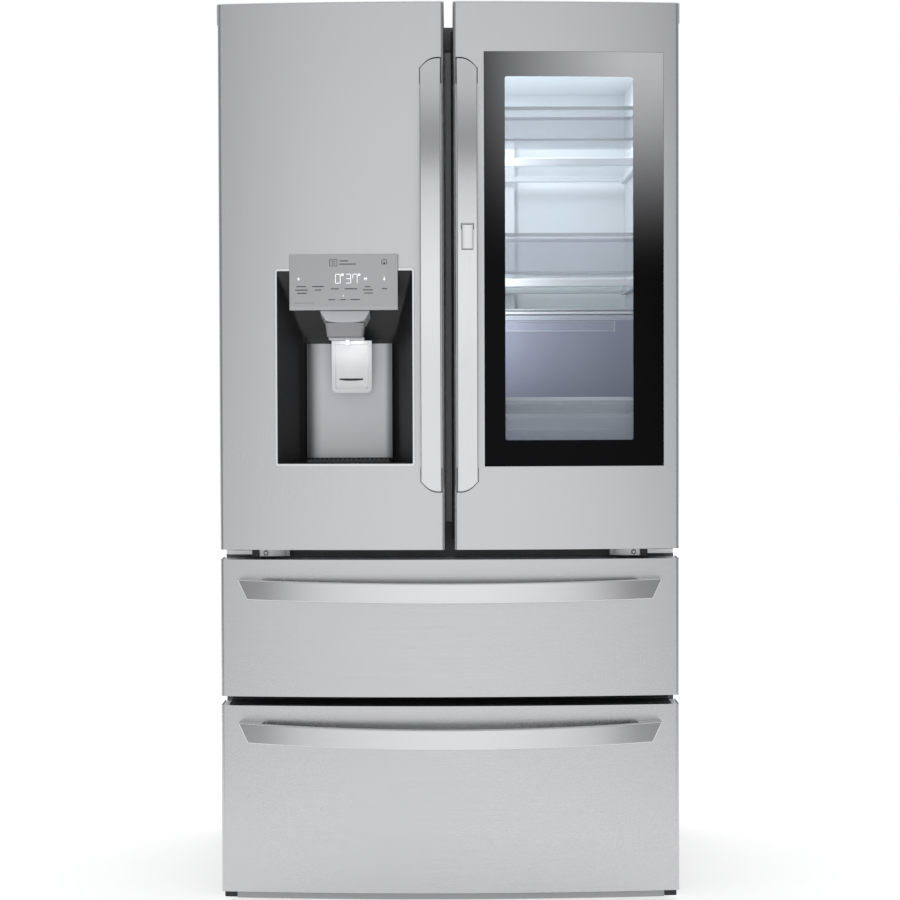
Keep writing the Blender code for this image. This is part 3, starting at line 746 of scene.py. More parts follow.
MOUTH_X, MOUTH_Z = (-0.3364, -0.0726), (0.8720, 1.2470)
BACK_X, BACK_TOP, BACK_Y = (-0.2870, -0.1100), 1.1120, -0.3005
MOUTH_MIDDLE = sum(MOUTH_X) / 2
DEEP = BACK_Y - 0.0095
liner = block("dispenser_liner", MOUTH_X, (-0.400, BACK_Y), MOUTH_Z)
edit(liner)
take_away(lambda c, n: n.y < -0.9)
pick("points", lambda p: p.y > DEEP and p.z > BACK_TOP)
bpy.ops.transform.translate(value=(0, 0, BACK_TOP - MOUTH_Z[1]))
for mouth, behind in zip(MOUTH_X, BACK_X):
    pick("points", lambda p: p.y > DEEP and (p.x < MOUTH_MIDDLE) == (mouth < MOUTH_MIDDLE))
    bpy.ops.transform.translate(value=(behind - mouth, 0, 0))
pick("edges", lambda c, d: c.y > DEEP and abs(d.z) > 0.9)
round_off(0.022, 8)
pick("edges", lambda c, d: c.z > BACK_TOP and -0.398 < c.y < -0.302 and abs(d.y) > 0.5)
round_off(0.006, 4)
push(lambda p: p.y < -0.3995, lambda p: (0, bow(p.x) + 0.0003 - p.y, 0))
bpy.ops.mesh.select_all(action="DESELECT")
bpy.ops.mesh.select_mode(type="EDGE")
bpy.ops.mesh.select_non_manifold()
bpy.ops.mesh.extrude_edges_move()
rim_centre = (MOUTH_MIDDLE, 0, sum(MOUTH_Z) / 2)
bpy.ops.transform.resize(value=(1.022, 1, 1.0155), center_override=rim_centre)
pick("faces", always)
bpy.ops.mesh.flip_normals()
done()
thicken(liner, 0.0009)
smooth(liner, 40)
fit(liner, "left_door", mid_plastic, "dark_plastic", "dispenser_housing")
print(trim.name, placed[trim.name], liner.name, placed[liner.name], "faces")

# %% The silver back panel
def back_with_painted_shade():
    """Silver paint with painted shade: it darkens towards both curled edges, where the recess lies
    in shadow.
    """
    made, shader, place = new_finish("back_paint", Metallic=0.2)
    sideways = place.node("SeparateXYZ", None, {0: place})
    # Painted shade: this mask is 1 across the middle of the panel and falls to 0 at both curled
    # edges, which go dark.
    light = sideways.step(-0.270, 0.019) * (1.0 - sideways.step(-0.1185, 0.012))
    cloud = place.noise(5.0, (1, 1, 1), 2.0)
    light.mix((0.05, 0.05, 0.052), (0.80, 0.81, 0.825)).feeds(shader, "Base Color")
    (0.36 + cloud * 0.08).feeds(shader, "Roughness")
    return made


low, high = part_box("dispenser_back")
back = block("dispenser_back_panel", (low.x, high.x),
             (high.y - 0.016, high.y - 0.0004), (low.z, high.z))
edit(back)
take_away(lambda c, n: n.y < -0.9 or abs(n.z) > 0.9)
pick("edges", lambda c, d: abs(d.z) > 0.9 and c.y > high.y - 0.002)
round_off(0.0155, 9)
pick("faces", always)
bpy.ops.mesh.flip_normals()
done()
thicken(back, 0.0012)
smooth(back, 40)
fit(back, "left_door", back_with_painted_shade(), "panel_silver", "dispenser_back")

# %% The control panel and its marks
low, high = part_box("dispenser_panel")
panel = block("control_panel", (low.x, high.x), (-0.0130, -0.0026), (low.z, high.z))
edit(panel)
slice_at("z", [low.z + 0.0065])
pick("points", lambda p: p.z < low.z + 0.001 and p.y < -0.012)
bpy.ops.transform.translate(value=(0, 0.0022, 0))
slice_at("x", evenly(low.x, high.x, 16)[1:-1])
push(always, lambda p: (0, bow(p.x), 0))
done()
soften(panel, 0.0008, 3, 8)
fit(panel, "left_door", panel_paint, "panel_silver", "dispenser_panel")

ink = moulded("ink", (0.06, 0.06, 0.065), 0.5)
panel_left, panel_top = low.x, high.z
MARK_Y = -0.01325


def marks(name, spans, finish):
    """Printed marks, given in millimetres from the panel's top left corner."""
    made = []
    for left, right, top, bottom in spans:
        x = (panel_left + left / 1000, panel_left + right / 1000)
        z = (panel_top - bottom / 1000, panel_top - top / 1000)
        made.append(bowed_plate(name, x, z, MARK_Y, 0.0002, 2))
    return fit(smooth(weld(name, *made), 30), "left_door", finish, "panel_silver")


# Plain bars stand for words: left, right and middle height of each.
LABELS = [
    (14.0, 33.2, 62.8), (11.8, 36.6, 69.6), (15.5, 34.3, 75.8), (44.5, 67.6, 62.8),
    (50.1, 62.5, 69.6), (81.0, 97.1, 67.6), (108.4, 132.9, 67.6), (147.8, 159.0, 63.6),
    (144.1, 163.3, 69.8), (146.4, 163.3, 76.0), (181.0, 191.4, 67.6), (76.6, 90.0, 88.6),
    (99.9, 110.6, 88.6), (119.6, 138.5, 88.6), (98.5, 115.4, 13.2), (98.5, 130.9, 19.4)]
LABEL_HALF = 0.85
marks("panel_labels", [(a, b, z - LABEL_HALF, z + LABEL_HALF) for a, b, z in LABELS], ink)
# Thin lines, a framed symbol at the top and a smaller one at the top right.
marks("panel_lines", [
    (9.9, 49.3, 94.7, 95.1), (95.0, 95.4, 87.5, 90.0), (114.7, 115.1, 87.5, 90.0),
    (78.8, 94.3, 10.1, 11.1), (78.8, 94.3, 22.4, 23.4), (78.8, 79.8, 11.1, 22.4),
    (93.3, 94.3, 11.1, 22.4), (83.0, 90.2, 14.0, 15.2), (83.0, 90.2, 18.4, 19.6),
    (180.6, 181.8, 12.5, 20.5), (190.4, 191.6, 12.5, 20.5),
    (181.8, 190.4, 10.9, 12.1), (184.0, 188.2, 16.5, 20.5)], ink)
print(panel.name, placed[panel.name], "faces, marks",
      placed["panel_labels"] + placed["panel_lines"])

# %% The lit digits
# Each digit is drawn as a seven bar number, as a lamp display shows it. A bar is
# given by its left, right, top and bottom, as shares of the digit's size.
BARS = {"a": (0.10, 0.90, 0.00, 0.06), "b": (0.89, 1.00, 0.04, 0.48),
        "c": (0.89, 1.00, 0.52, 0.96), "d": (0.10, 0.90, 0.94, 1.00),
        "e": (0.00, 0.11, 0.52, 0.96), "f": (0.00, 0.11, 0.04, 0.48),
        "g": (0.10, 0.90, 0.47, 0.53)}
NUMBERS = {"0": "abcdef", "3": "abgcd", "7": "abcf"}


def number(text, left, top, width, height):
    """One lit digit, as the bars that it needs."""
    return [(left + width * a, left + width * b, top + height * c, top + height * d)
            for a, b, c, d in (BARS[bar] for bar in NUMBERS[text])]


def small_ring(left, top, size):
    """The degree sign, as a square of four bars."""
    right, bottom, wall = left + size, top + size, size * 0.3
    return [(left, right, top, top + wall), (left, right, bottom - wall, bottom),
            (left, left + wall, top, bottom), (right - wall, right, top, bottom)]


DIGIT_TOP, DIGIT_WIDE, DIGIT_HIGH = 38.5, 10.5, 18.5
lit = number("0", 90.0, DIGIT_TOP, DIGIT_WIDE, DIGIT_HIGH) + small_ring(102.6, 38.2, 3.8)
lit += number("3", 110.6, DIGIT_TOP, DIGIT_WIDE, DIGIT_HIGH)
lit += number("7", 124.0, DIGIT_TOP, 9.5, DIGIT_HIGH) + small_ring(135.3, 38.2, 3.8)
# Small plus signs and strokes stand for the lit symbols around the digits.
lit += [(17.9, 18.9, 44.8, 51.0), (15.4, 21.4, 47.4, 48.4), (147.4, 148.4, 44.8, 51.0),
        (150.4, 151.4, 44.8, 51.0), (145.8, 153.0, 47.4, 48.4), (185.4, 186.4, 43.8, 51.6),
        (183.4, 188.4, 48.6, 49.6), (105.1, 106.1, 79.6, 82.6)]
digits = marks("panel_digits", lit, digit_white)
print(digits.name, placed[digits.name], "faces")

# %% Chute, nozzle and paddle
low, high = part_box("ice_chute")
cup = block("chute_cup", (low.x + 0.0003, high.x - 0.0003), (-0.3857, -0.3305), (1.1475, 1.1710))
edit(cup)
slice_at("x", evenly(low.x, high.x, 12)[1:-1])
cup_middle, cup_half = (low.x + high.x) / 2, (high.x - low.x) / 2


def cup_bottom(p):
    """The lower edge is drawn in at the sides and rounded up towards them."""
    share = (p.x - cup_middle) / cup_half
    return (-share * 0.0100, 0.004 if p.y < -0.35 else 0, 0.006 * share ** 4)


push(lambda p: p.z < 1.15, cup_bottom)
push(lambda p: p.z > 1.15 and p.y > -0.35, lambda p: (0, 0, -0.0125))
done()
soften(cup, 0.0012, 3, 30)
neck = block("chute_neck", (-0.2439, -0.1654), (-0.3780, -0.3303), (1.1198, 1.1475))
edit(neck)
pick("points", lambda p: p.z < 1.13)
bpy.ops.transform.resize(value=(0.90, 1, 1), center_override=(cup_middle, 0, 0))
pick("edges", lambda c, d: abs(d.z) > 0.7 and c.y < -0.37)
round_off(0.006, 4)
done()
soften(neck, 0.0008, 2, 30)
fit(cup, "left_door", pale_plastic, "grey_plastic", "ice_chute")
fit(neck, "left_door", chute_plastic, "grey_plastic")
lip = block("chute_lip", (-0.2368, -0.1672), (-0.3720, -0.3287), (1.1140, 1.1190))
soften(lip, 0.0012, 3)
fit(lip, "left_door", pale_plastic, "grey_plastic")
nozzle = rod("water_spout", (-0.2008, -0.352, 1.1090), "z", 0.0042, 0.0100)
edit(nozzle)
pick("faces", lambda c, n: n.z < -0.9)
bpy.ops.mesh.inset(thickness=0.0012)
extrude((0, 0, 0.006))
done()
soften(nozzle, 0.0004, 2, 40)
fit(nozzle, "left_door", pale_plastic, "grey_plastic")

low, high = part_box("dispenser_paddle")
paddle = block("glass_paddle", (low.x, high.x), (low.y, high.y), (low.z, high.z))
edit(paddle)
pick("edges", lambda c, d: abs(d.y) > 0.9 and c.z < low.z + 0.001)
round_off(0.011, 6)
pick("faces", lambda c, n: n.y < -0.9)
bpy.ops.mesh.inset(thickness=0.0070)
press(0.0020, (0, 0.0034, 0))
press(0.006, (0, 0.0006, 0))
done()
soften(paddle, 0.0011, 3, 30)
fit(paddle, "paddle", paddle_white, "grey_plastic", "dispenser_paddle")

# A curved slot crosses the dish. It starts as a flat strip whose lower edge then sags.
SLOT_MIDDLE, SLOT_HALF, SLOT_SAG = -0.1945, 0.0235, 0.0018
slot_x = (SLOT_MIDDLE - SLOT_HALF, SLOT_MIDDLE + SLOT_HALF)
slot = block("paddle_slot", slot_x, (low.y + 0.0035, low.y + 0.0055), (1.0356, 1.0384))
edit(slot)
slice_at("x", evenly(*slot_x, 16)[1:-1])
push(lambda p: p.z < 1.037,
     lambda p: (0, 0, -SLOT_SAG * (1 - ((p.x - SLOT_MIDDLE) / SLOT_HALF) ** 2)))
done()
fit(soften(slot, 0.0004, 2, 40), "paddle", dark_plastic, "dark_plastic")
print(paddle.name, placed[paddle.name], "faces")

# %% Drip tray
low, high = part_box("drip_tray")
drip = block("drip_grille", (low.x, high.x), (low.y, high.y), (low.z, high.z - 0.0008))
edit(drip)
pick("edges", lambda c, d: abs(d.z) > 0.9)
round_off(0.006, 4)
pick("faces", lambda c, n: n.z > 0.9)
press(0.003, (0, 0, -0.0025))
done()
bars = []
for x in evenly(low.x + 0.008, high.x - 0.008, 17):
    rib = block("grille_bar", (x - 0.0012, x + 0.0012), (low.y + 0.002, high.y - 0.002),
                (low.z + 0.0035, high.z))
    bars.append(soften(rib, 0.0004, 2))
drip = weld("drip_grille", drip, *bars)
fit(smooth(drip, 40), "left_door", dark_plastic, "dark_plastic", "drip_tray")
print(drip.name, placed[drip.name], "faces")

# %% [markdown]
# ## Seals, hinges and feet
#
# The seals are soft frames with a groove along the middle, the way a magnet
# seal folds. A narrow bar on the left door closes the gap between the two
# doors from behind, and a fin on the right seal laps over it, so no light from
# the compartment shows between them.

# %% Seals
def seal(name, node, body, width):
    """A frame: one face, inset and emptied, with a groove pressed along its middle."""
    low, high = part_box(node)
    deep = high.y - low.y
    ring = block(name, (low.x, high.x), (low.y, high.y), (low.z, high.z))
    edit(ring)
    take_away(lambda c, n: n.y > -0.9)
    pick("faces", always)
    bpy.ops.mesh.inset(thickness=width)
    bpy.ops.mesh.delete(type="FACE")
    pick("faces", always)
    press(width * 0.32, (0, deep * 0.3, 0))
    done()
    thicken(ring, deep * 0.65)
    return fit(smooth(ring, 30), body, grey_rubber, "gasket_rubber", node)


for body, width in (("left_door", 0.018), ("right_door", 0.018), ("window_door", 0.016)):
    print(seal(f"{body}_seal", f"{body}_gasket", body, width).name)

# %% The bar and the fin between the doors
BAR_EDGE = 0.012
low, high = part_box("right_door_gasket")
fin = block("seal_fin", (0.0046, low.x + 0.004), (low.y + 0.0006, low.y + 0.0062), (low.z, high.z))
fit(soften(fin, 0.0008, 2), "right_door", rubber, "gasket_rubber")
low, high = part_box("flipper_mullion")
bar = block("flipper_bar", (low.x, high.x), (low.y, high.y), (low.z, high.z))
edit(bar)
slice_at("x", [low.x + BAR_EDGE, high.x - BAR_EDGE])
pick("faces", lambda c, n: n.y < -0.9 and low.x + BAR_EDGE < c.x < high.x - BAR_EDGE)
press(0.0008, (0, 0.0010, 0))
done()
fit(soften(bar, 0.0008, 2), "flipper", flipper_grey, "case_paint", "flipper_mullion")

for end, z in (("top", (1.6906, 1.6990)), ("bottom", (0.7420, 0.7494))):
    guide = block(f"flipper_guide_{end}", (-0.030, 0.030), (-0.2785, -0.2560), z)
    fit(soften(guide, 0.0010, 2), "cabinet", dark_plastic, "dark_plastic")

# %% Black strips that paint the shade in the gap between the drawers
# One lines the cabinet behind the gap, and one lies on top of the lower drawer
# and follows the bow. Both are painted shade, dark where the gap lies in shadow.
GAP_X = (-0.4380, 0.4380)
shade = block("rail_painted_shade", GAP_X, (-0.2797, -0.2788), (0.3945, 0.4115))
fit(shade, "cabinet", black_paint, "black_paint")
ledge = block("drawer_top_painted_shade", GAP_X, (-0.3680, -0.2885), (0.3936, 0.3944))
edit(ledge)
slice_at("x", evenly(*GAP_X, 20)[1:-1])
push(lambda p: p.y < -0.36, lambda p: (0, fall(p.x) - 0.0135, 0))
done()
fit(ledge, "lower_drawer", black_paint, "black_paint")

# %% Centre hinges
# Each one shows in the slot between the doors and the upper drawer.
def on_side(side, near, far):
    """A span across, on the left (-1) or the right (1) of the middle."""
    return (side * near, side * far)


HINGE_Z = (0.6850, 0.6996)
HINGE_BACK = -0.2800
for label, side in (("left", -1), ("right", 1)):
    plate = block(f"hinge_plate_{label}", on_side(side, 0.318, 0.379), (-0.336, HINGE_BACK),
                  HINGE_Z)
    edit(plate)
    slice_at("x", [side * 0.349])
    pick("points", lambda p: abs(p.x) < 0.340 and p.y < -0.33)
    bpy.ops.transform.translate(value=(0, 0.010, 0))
    done()
    fit(soften(plate, 0.0010, 3), "cabinet", hinge_steel, "hinge_steel", f"centre_hinge_{label}")
    arm = block(f"hinge_arm_{label}", on_side(side, 0.391, 0.443), (-0.356, HINGE_BACK),
                (0.6910, 0.6994))
    edit(arm)
    pick("edges", lambda c, d: abs(d.z) > 0.9 and c.y < -0.35 and abs(c.x) > 0.43)
    round_off(0.012, 6)
    done()
    fit(soften(arm, 0.0008, 2), "cabinet", hinge_white, "hinge_steel")
    knuckle = block(f"hinge_knuckle_{label}", on_side(side, 0.379, 0.391), (-0.352, HINGE_BACK),
                    HINGE_Z)
    fit(soften(knuckle, 0.0010, 2), "cabinet", black_paint, "hinge_steel")
    pin = rod(f"hinge_pin_{label}", (side * 0.434, -0.3175, 0.6960), "z", 0.0042, 0.0150)
    fit(soften(pin, 0.0005, 2), "cabinet", hinge_steel, "hinge_steel")
    for n, x in enumerate((0.331, 0.365)):
        centre = (side * x, -0.3275 - 0.010 * n, 0.6924)
        head = rod(f"hinge_screw_{label}_{n + 1}", centre, "y", 0.0052, 0.0060, 24)
        edit(head)
        pick("faces", lambda c, n: n.y < -0.9)
        press(0.0024, (0, 0.0022, 0))
        done()
        fit(soften(head, 0.0006, 2, 40), "cabinet", hinge_steel, "hinge_steel")
print("centre hinges", len([n for n in placed if n.startswith("hinge_")]), "pieces")

# %% Top hinge covers
for label, side in (("left", -1), ("right", 1)):
    low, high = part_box(f"top_hinge_{label}")
    cover = block(f"hinge_cover_{label}", on_side(side, 0.3500, 0.4485), (-0.2785, -0.1500),
                  (1.7405, high.z))
    edit(cover)
    pick("points", lambda p: p.z > 1.75 and abs(p.x) < 0.36)
    bpy.ops.transform.translate(value=(side * 0.006, 0, 0))
    pick("edges", lambda c, d: abs(d.z) > 0.7)
    round_off(0.012, 5)
    done()
    fit(soften(cover, 0.0030, 4), "cabinet", cap_grey, "grey_plastic", f"top_hinge_{label}")
    arm = block(f"hinge_strap_{label}", on_side(side, 0.4195, 0.4485), (-0.3320, -0.2740),
                (1.7570, 1.7625))
    edit(arm)
    pick("edges", lambda c, d: abs(d.z) > 0.9 and c.y < -0.33)
    round_off(0.0140, 8)
    done()
    fit(soften(arm, 0.0008, 2), "cabinet", hinge_steel, "hinge_steel")
    spot = (side * 0.400, -0.215, high.z - 0.0006)
    screw = rod(f"cover_screw_{label}", spot, "z", 0.0055, 0.0022, 24)
    edit(screw)
    pick("faces", lambda c, n: n.z > 0.9)
    press(0.0026, (0, 0, -0.0010))
    done()
    fit(soften(screw, 0.0003, 2, 40), "cabinet", hinge_steel, "grey_plastic")
print("top hinge covers done")

# %% Base strip and feet
# A narrow grey rail closes the underside of the lower drawer, with a dark block at each end.
for label, x, z, finish in (("rail", (-0.4225, 0.4225), (0.0118, 0.0248), cap_grey),
                            ("end_left", (-0.4470, -0.4228), (0.0135, 0.0246), black_paint),
                            ("end_right", (0.4228, 0.4470), (0.0135, 0.0246), black_paint)):
    under = bowed_plate(f"drawer_under_{label}", x, z, 0.0045, 0.020, 28 if label == "rail" else 2)
    fit(soften(under, 0.0012, 2), "lower_drawer", finish, "grey_plastic")

low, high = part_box("kick_trim")
strip = block("base_strip", (low.x, high.x), (low.y, high.y), (low.z, high.z))
edit(strip)
groove = (low.z + 0.010, low.z + 0.014)
slice_at("z", groove)
pick("faces", lambda c, n: n.y < -0.9 and groove[0] < c.z < groove[1])
press(0.0008, (0, 0.0020, 0))
done()
fit(soften(strip, 0.0012, 2), "cabinet", cap_grey, "grey_plastic", "kick_trim")
for label, side in (("left", -1), ("right", 1)):
    low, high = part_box(f"front_foot_{label}")
    x, y = (low.x + high.x) / 2, (low.y + high.y) / 2
    pad = rod(f"foot_pad_{label}", (x, y, 0.0055), "z", (high.x - low.x) / 2, 0.0110, 48)
    edit(pad)
    slice_at("z", [0.004])
    pick("points", lambda p: p.z > 0.008)
    bpy.ops.transform.resize(value=(0.72, 0.72, 1), center_override=(x, y, 0.011))
    done()
    fit(soften(pad, 0.0010, 3, 20), "cabinet", rubber, "dark_plastic", f"front_foot_{label}")
    thread = rod(f"foot_thread_{label}", (x, y, (0.010 + high.z) / 2), "z",
                 0.0060, high.z - 0.010, 24)
    edit(thread)
    turns = evenly(0.012, high.z - 0.002, 18)
    slice_at("z", turns)
    pick("points", lambda p: any(abs(p.z - z) < 0.0002 for z in turns[::2]))
    bpy.ops.transform.resize(value=(0.86, 0.86, 1), center_override=(x, y, 0))
    done()
    fit(smooth(thread, 25), "cabinet", hinge_steel, "hinge_steel")
    corner = block(f"base_corner_{label}", on_side(side, 0.4190, 0.4490), (-0.2785, -0.2450),
                   (0.0160, 0.0436))
    fit(soften(corner, 0.0020, 3), "cabinet", black_paint, "dark_plastic")
print("feet done")

# %% [markdown]
# ## Inside the compartments
#
# Every bin and drawer is the same shape of thing: a box with rounded upright
# corners and an open top, given a wall and then a thicker, brighter rim. The
# clear ones are one thin skin, so their rims carry the outline, as they do in
# a real one.

# %% Bins and drawers
LIP = 0.0012


def tub(node, body, finish, rim_finish, wall=0.0026, rim=0.007, corner=0.014):
    """An open box with a rim and a low sill in front, all in the place of one node."""
    low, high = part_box(node)
    shell = block(node + "_shell", (low.x + LIP, high.x - LIP), (low.y + LIP, high.y - LIP),
                  (low.z, high.z - 0.001))
    edit(shell)
    pick("edges", lambda c, d: abs(d.z) > 0.7)
    round_off(corner, 6)
    take_away(lambda c, n: n.z > 0.9)
    pick("edges", lambda c, d: abs(d.z) < 0.1 and c.z < low.z + 0.001)
    round_off(0.005, 3)
    done()
    thicken(shell, wall)
    fit(smooth(shell, 40), body, finish, "clear_plastic", node)
    band = block(node + "_rim", (low.x, high.x), (low.y, high.y), (high.z - rim, high.z))
    edit(band)
    pick("edges", lambda c, d: abs(d.z) > 0.7)
    round_off(corner, 6)
    take_away(lambda c, n: abs(n.z) > 0.9)
    done()
    thicken(band, wall * 1.5)
    fit(soften(band, 0.0008, 2, 40), body, rim_finish, "clear_plastic")
    sill = block(node + "_sill", (low.x + 0.004, high.x - 0.004), (low.y + 0.002, low.y + 0.007),
                 (low.z + 0.0004, low.z + 0.0052))
    fit(soften(sill, 0.0012, 2), body, rim_finish, "clear_plastic")
    return low, high


for node, body in (("right_bin_top", "right_door"), ("right_bin_middle", "right_door"),
                   ("right_bin_bottom", "right_door"), ("left_door_bin", "left_door")):
    tub(node, body, bin_clear, bin_rim)
for node in ("crisper_left", "crisper_right", "pantry_drawer"):
    low, high = tub(node, node, crisper_blue, bin_rim, corner=0.010, rim=0.010)
    pull = block(node + "_pull", (low.x + 0.05, high.x - 0.05), (low.y - 0.0004, low.y + 0.006),
                 (high.z - 0.034, high.z - 0.012))
    edit(pull)
    pick("faces", lambda c, n: n.y < -0.9)
    press(0.004, (0, 0.003, 0))
    done()
    fit(soften(pull, 0.0010, 2), node, bin_rim, "clear_plastic")
for node, body in (("upper_basket", "upper_drawer"), ("lower_basket", "lower_drawer"),
                   ("freezer_tray", "freezer_tray")):
    tub(node, body, bin_clear, liner_white, corner=0.018, rim=0.012, wall=0.0030)
print("bins and drawers", len([n for n in placed if n.endswith("_rim")]))

# %% Shelves
for node in ("shelf_upper", "shelf_lower"):
    low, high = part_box(node)
    glass_z = low.z + 0.0100
    glass = block(node + "_glass", (low.x + 0.002, high.x - 0.002), (-0.045, high.y - 0.004),
                  (glass_z, glass_z + 0.005))
    fit(soften(glass, 0.0008, 2), "cabinet", shelf_clear, "shelf_glass", node)
    edge = block(node + "_edge", (low.x, high.x), (-0.055, -0.041), (low.z, high.z))
    fit(soften(edge, 0.0025, 3), "cabinet", liner_white, "liner_white")
    for end, x in (("left", low.x), ("right", high.x - 0.010)):
        rail = block(f"{node}_rail_{end}", (x, x + 0.010), (-0.040, high.y),
                     (low.z, high.z - 0.0005))
        fit(soften(rail, 0.0015, 2), "cabinet", liner_white, "liner_white")
    strip = block(node + "_back", (low.x + 0.010, high.x - 0.010), (high.y - 0.012, high.y),
                  (low.z + 0.004, high.z - 0.0005))
    fit(soften(strip, 0.0015, 2), "cabinet", liner_white, "liner_white")
low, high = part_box("crisper_cover")
glass = block("crisper_glass", (low.x + 0.002, high.x - 0.002),
              (low.y + 0.012, high.y - 0.004), (1.1805, 1.1855))
fit(soften(glass, 0.0008, 2), "cabinet", shelf_clear, "shelf_glass")
rail = block("crisper_front_rail", (low.x, high.x), (low.y, low.y + 0.012), (1.1745, high.z))
fit(soften(rail, 0.0020, 3), "cabinet", liner_white, "liner_white")
print("shelves done")

# %% Lamps in the ceiling, the air duct's slots and the ice compartment's latch
for label, x in (("left", -0.20), ("right", 0.20)):
    lens = block(f"ceiling_lens_{label}", (x - 0.11, x + 0.11), (-0.02, 0.06), (1.6915, 1.6949))
    fit(soften(lens, 0.0010, 2), "cabinet", lamp_white, "liner_white")
low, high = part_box("air_duct")
for n, z in enumerate(evenly(high.z - 0.06, low.z + 0.12, 6)):
    slot_line = block(f"duct_slot_{n + 1}", (-0.060, 0.060),
                      (low.y - 0.0004, low.y + 0.0010), (z - 0.0035, z + 0.0035))
    fit(soften(slot_line, 0.0008, 2), "cabinet", grey_plastic, "dark_plastic")
low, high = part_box("ice_compartment")
latch = block("ice_latch", (-0.112, -0.104), (high.y - 0.0002, high.y + 0.0045), (1.46, 1.50))
fit(soften(latch, 0.0012, 3), "left_door", grey_plastic, "grey_plastic")
print("compartment details done")

# %% [markdown]
# ## The back and everything carried over
#
# The back is plain sheet with pressed ribs, held by screws. The remaining
# nodes keep their engineered shape and only need a finish. Those with round
# parts are also smoothed.

# %% Ribs and screws on the back
low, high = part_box("cabinet_back")
for n, z in enumerate(evenly(0.48, 1.62, 6)):
    rib = block(f"back_rib_{n + 1}", (-0.36, 0.36),
                (high.y - 0.0006, high.y + 0.0022), (z - 0.012, z + 0.012))
    edit(rib)
    pick("faces", lambda c, n: n.y > 0.9)
    bpy.ops.transform.resize(value=(0.978, 1, 0.45), center_override=(0, 0, z))
    done()
    fit(soften(rib, 0.0010, 2, 20), "cabinet", case_paint, "case_paint")
spots = [(x, z) for x in (-0.425, 0.425) for z in evenly(0.42, 1.70, 5)]
spots += [(x, 1.715) for x in (-0.22, 0.0, 0.22)]
heads = []
for x, z in spots:
    head = rod("back_screw", (x, high.y + 0.0008, z), "y", 0.0048, 0.0026, 20)
    edit(head)
    pick("faces", lambda c, n: n.y > 0.9)
    press(0.0022, (0, -0.0010, 0))
    done()
    heads.append(head)
screws = weld("back_screws", *heads)
fit(smooth(screws, 40), "cabinet", hinge_steel, "hinge_steel")
print("back", placed["back_screws"], "faces")

# %% Finish the carried-over nodes
CARRIED_OVER = (
    (case_paint, ("cabinet_wrapper", "cabinet_front_frame", "cabinet_back", "compressor_cover")),
    (liner_white, ("fresh_food_liner", "freezer_liner", "left_door_inner", "right_door_frame",
                   "window_door_inner", "upper_drawer_inner", "lower_drawer_inner", "air_duct",
                   "ice_compartment")),
    (foam_block, ("cabinet_insulation",)),
    (dark_plastic, ("rear_rollers", "power_inlet")),
    (shelf_clear, ("crisper_cover",)),
    (black_paint, ("base_pan", "compressor")),
    (brass, ("water_inlet",)))
ROUND_NODES = ("compressor", "rear_rollers", "water_inlet")
for finish, names in CARRIED_OVER:
    for name in names:
        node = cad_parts[name]
        node.data.materials.clear()
        node.data.materials.append(finish)
        if name in ROUND_NODES:
            smooth(node, 30)
print(sum(len(names) for finish, names in CARRIED_OVER), "nodes carried over")

# %% [markdown]
# ## Floor, light and camera
#
# The refrigerator stands on a pale floor in a white studio. Steel shows what
# is around it, so the light is arranged as reflections: a wide soft panel in
# front makes the middle of each front bright, and the darker room beside it
# makes the steel fall off towards its outer edges, which shows the bow.

# %% Floor
# It ends a little way in front, so that the steel above sees the light panel
# and not a wide stretch of floor. A trace of its own light keeps it white.
floor = block("studio_floor", (-15, 15), (-1.55, 16), (-0.02, 0))
floor_look, shader, place = new_finish("floor", Roughness=0.8, Emission_Color=(1.0, 1.0, 1.0),
                                       Emission_Strength=0.42)
patches = place.noise(1.5, (1, 1, 1), 2.0)
patches.mix((0.80, 0.80, 0.80), (0.83, 0.83, 0.83)).feeds(shader, "Base Color")
floor.data.materials.append(floor_look)

# %% The world
# The camera sees plain white. Reflections see a bright panel in front, of the
# width that `wide` gives and the height that `tall` gives, in a darker room.
world = bpy.data.worlds.new("studio")
bpy.context.scene.world = world
world.use_nodes = True
bpy.context.scene.view_settings.view_transform = "Standard"
direction = world.node_tree.nodes.new("ShaderNodeTexCoord")
sky = Socket(world.node_tree, direction.outputs["Generated"])
sideways, toward, height = [sky.node("SeparateXYZ", None, {0: sky}, output=n) for n in range(3)]
offset = sideways.maths("ABSOLUTE", sideways + 0.01)
front = 1.0 - toward.step(-0.25, 0.3)
dome = 1.0 - sideways * sideways * 2.1
panel_edge = 0.47 - height.step(-0.045, 0.045) * 0.15
wide = 1.0 - (offset - panel_edge).step(0.0, 0.09)
below = 1.0 - height.step(-0.10, 0.05)
tall = (1.0 - height.step(0.16, 0.09) * 0.26) * (1.0 - height.step(0.30, 0.055))
tall = tall * (1.0 - below * 0.09)
room = 0.30 + toward.step(0.1, 0.4) * 0.50
ceiling = height.step(0.41, 0.07) * 0.40
level = room + ceiling + wide * tall * dome * front * 0.78
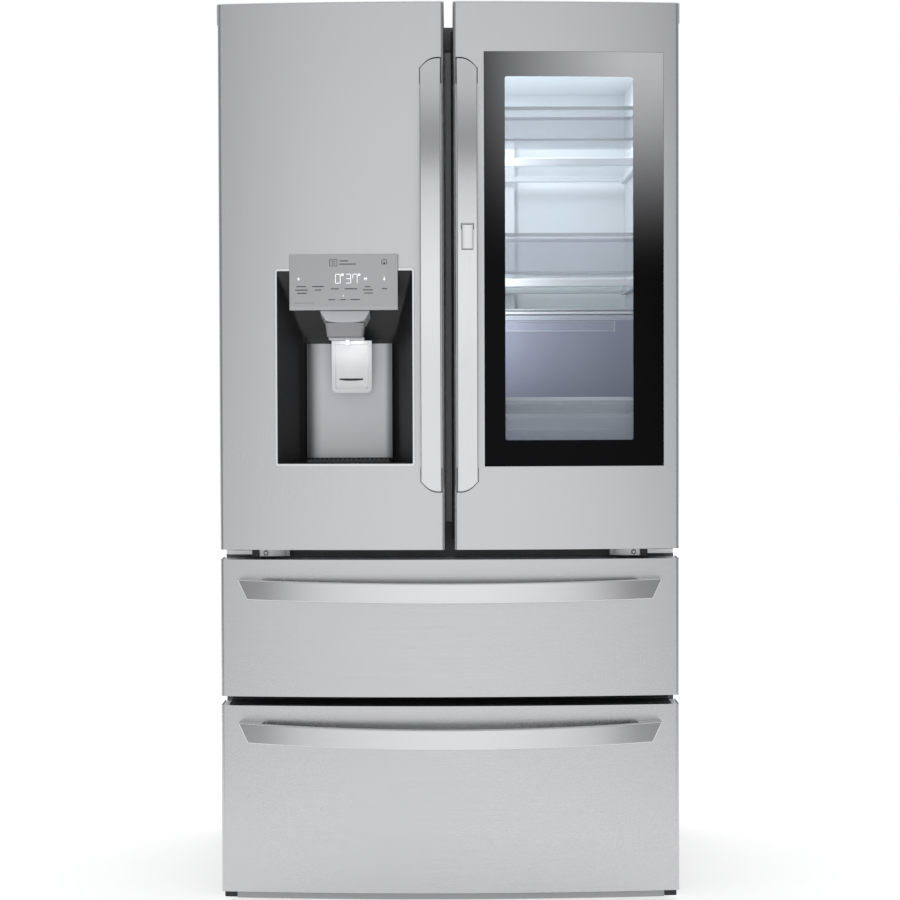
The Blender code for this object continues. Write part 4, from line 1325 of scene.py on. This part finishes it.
studio = level.node("CombineXYZ", None, {0: level * 0.995, 1: level, 2: level * 1.01})
background = world.node_tree.nodes["Background"]
to_camera = sky.node("LightPath")
to_camera.mix(studio, (1.0, 1.0, 1.0)).feeds(background, "Color")
background.inputs["Strength"].default_value = 1.0


# %% Lamps
# Two light the compartment, and a small one lights the paddle from above.
def soft_panel(name, place, target, width, height, power, colour=(1, 1, 1)):
    """A soft rectangular lamp, turned to face a point."""
    lamp = bpy.data.lights.new(name, "AREA")
    lamp.shape, lamp.size, lamp.size_y = "RECTANGLE", width, height
    lamp.energy, lamp.color = power, colour
    holder = bpy.data.objects.new(name, lamp)
    bpy.context.scene.collection.objects.link(holder)
    holder.location = place
    holder.rotation_euler = (Vector(target) - Vector(place)).to_track_quat("-Z", "Y").to_euler()


COOL = (0.92, 0.96, 1.0)
soft_panel("fridge_ceiling_lamp", (0, 0.05, 1.688), (0, 0.05, 0.5), 0.70, 0.25, 2.0, COOL)
soft_panel("glass_lamp", (-0.1945, -0.3700, 1.1110), (-0.1945, -0.3300, 1.060),
           0.050, 0.008, 0.013)
soft_panel("fridge_door_lamp", (0, -0.215, 1.34), (0, 0.6, 1.34), 0.05, 0.50, 1.3, COOL)

# %% Camera
# A long lens from 4.3 m away keeps the fronts nearly square, tilted a trace.
DISTANCE, LENS, ROLL = 4.3, 87.9, -0.18
camera_data = bpy.data.cameras.new("camera")
camera = bpy.data.objects.new("camera", camera_data)
bpy.context.scene.collection.objects.link(camera)
bpy.context.scene.camera = camera
camera_data.lens = LENS
camera_data.sensor_width = 36.0
eye = Vector((0.003, FACE_Y - DISTANCE, 1.00))
aim = Vector((0.001, FACE_Y, 0.8972))
camera.location = eye
turn = (aim - eye).to_track_quat("-Z", "Y").to_matrix()
camera.rotation_euler = (turn @ Matrix.Rotation(math.radians(ROLL), 3, "Z")).to_euler()
print("camera at", [round(v, 3) for v in eye])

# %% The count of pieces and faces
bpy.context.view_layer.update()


print(len(placed), "pieces,", sum(placed.values()), "faces")
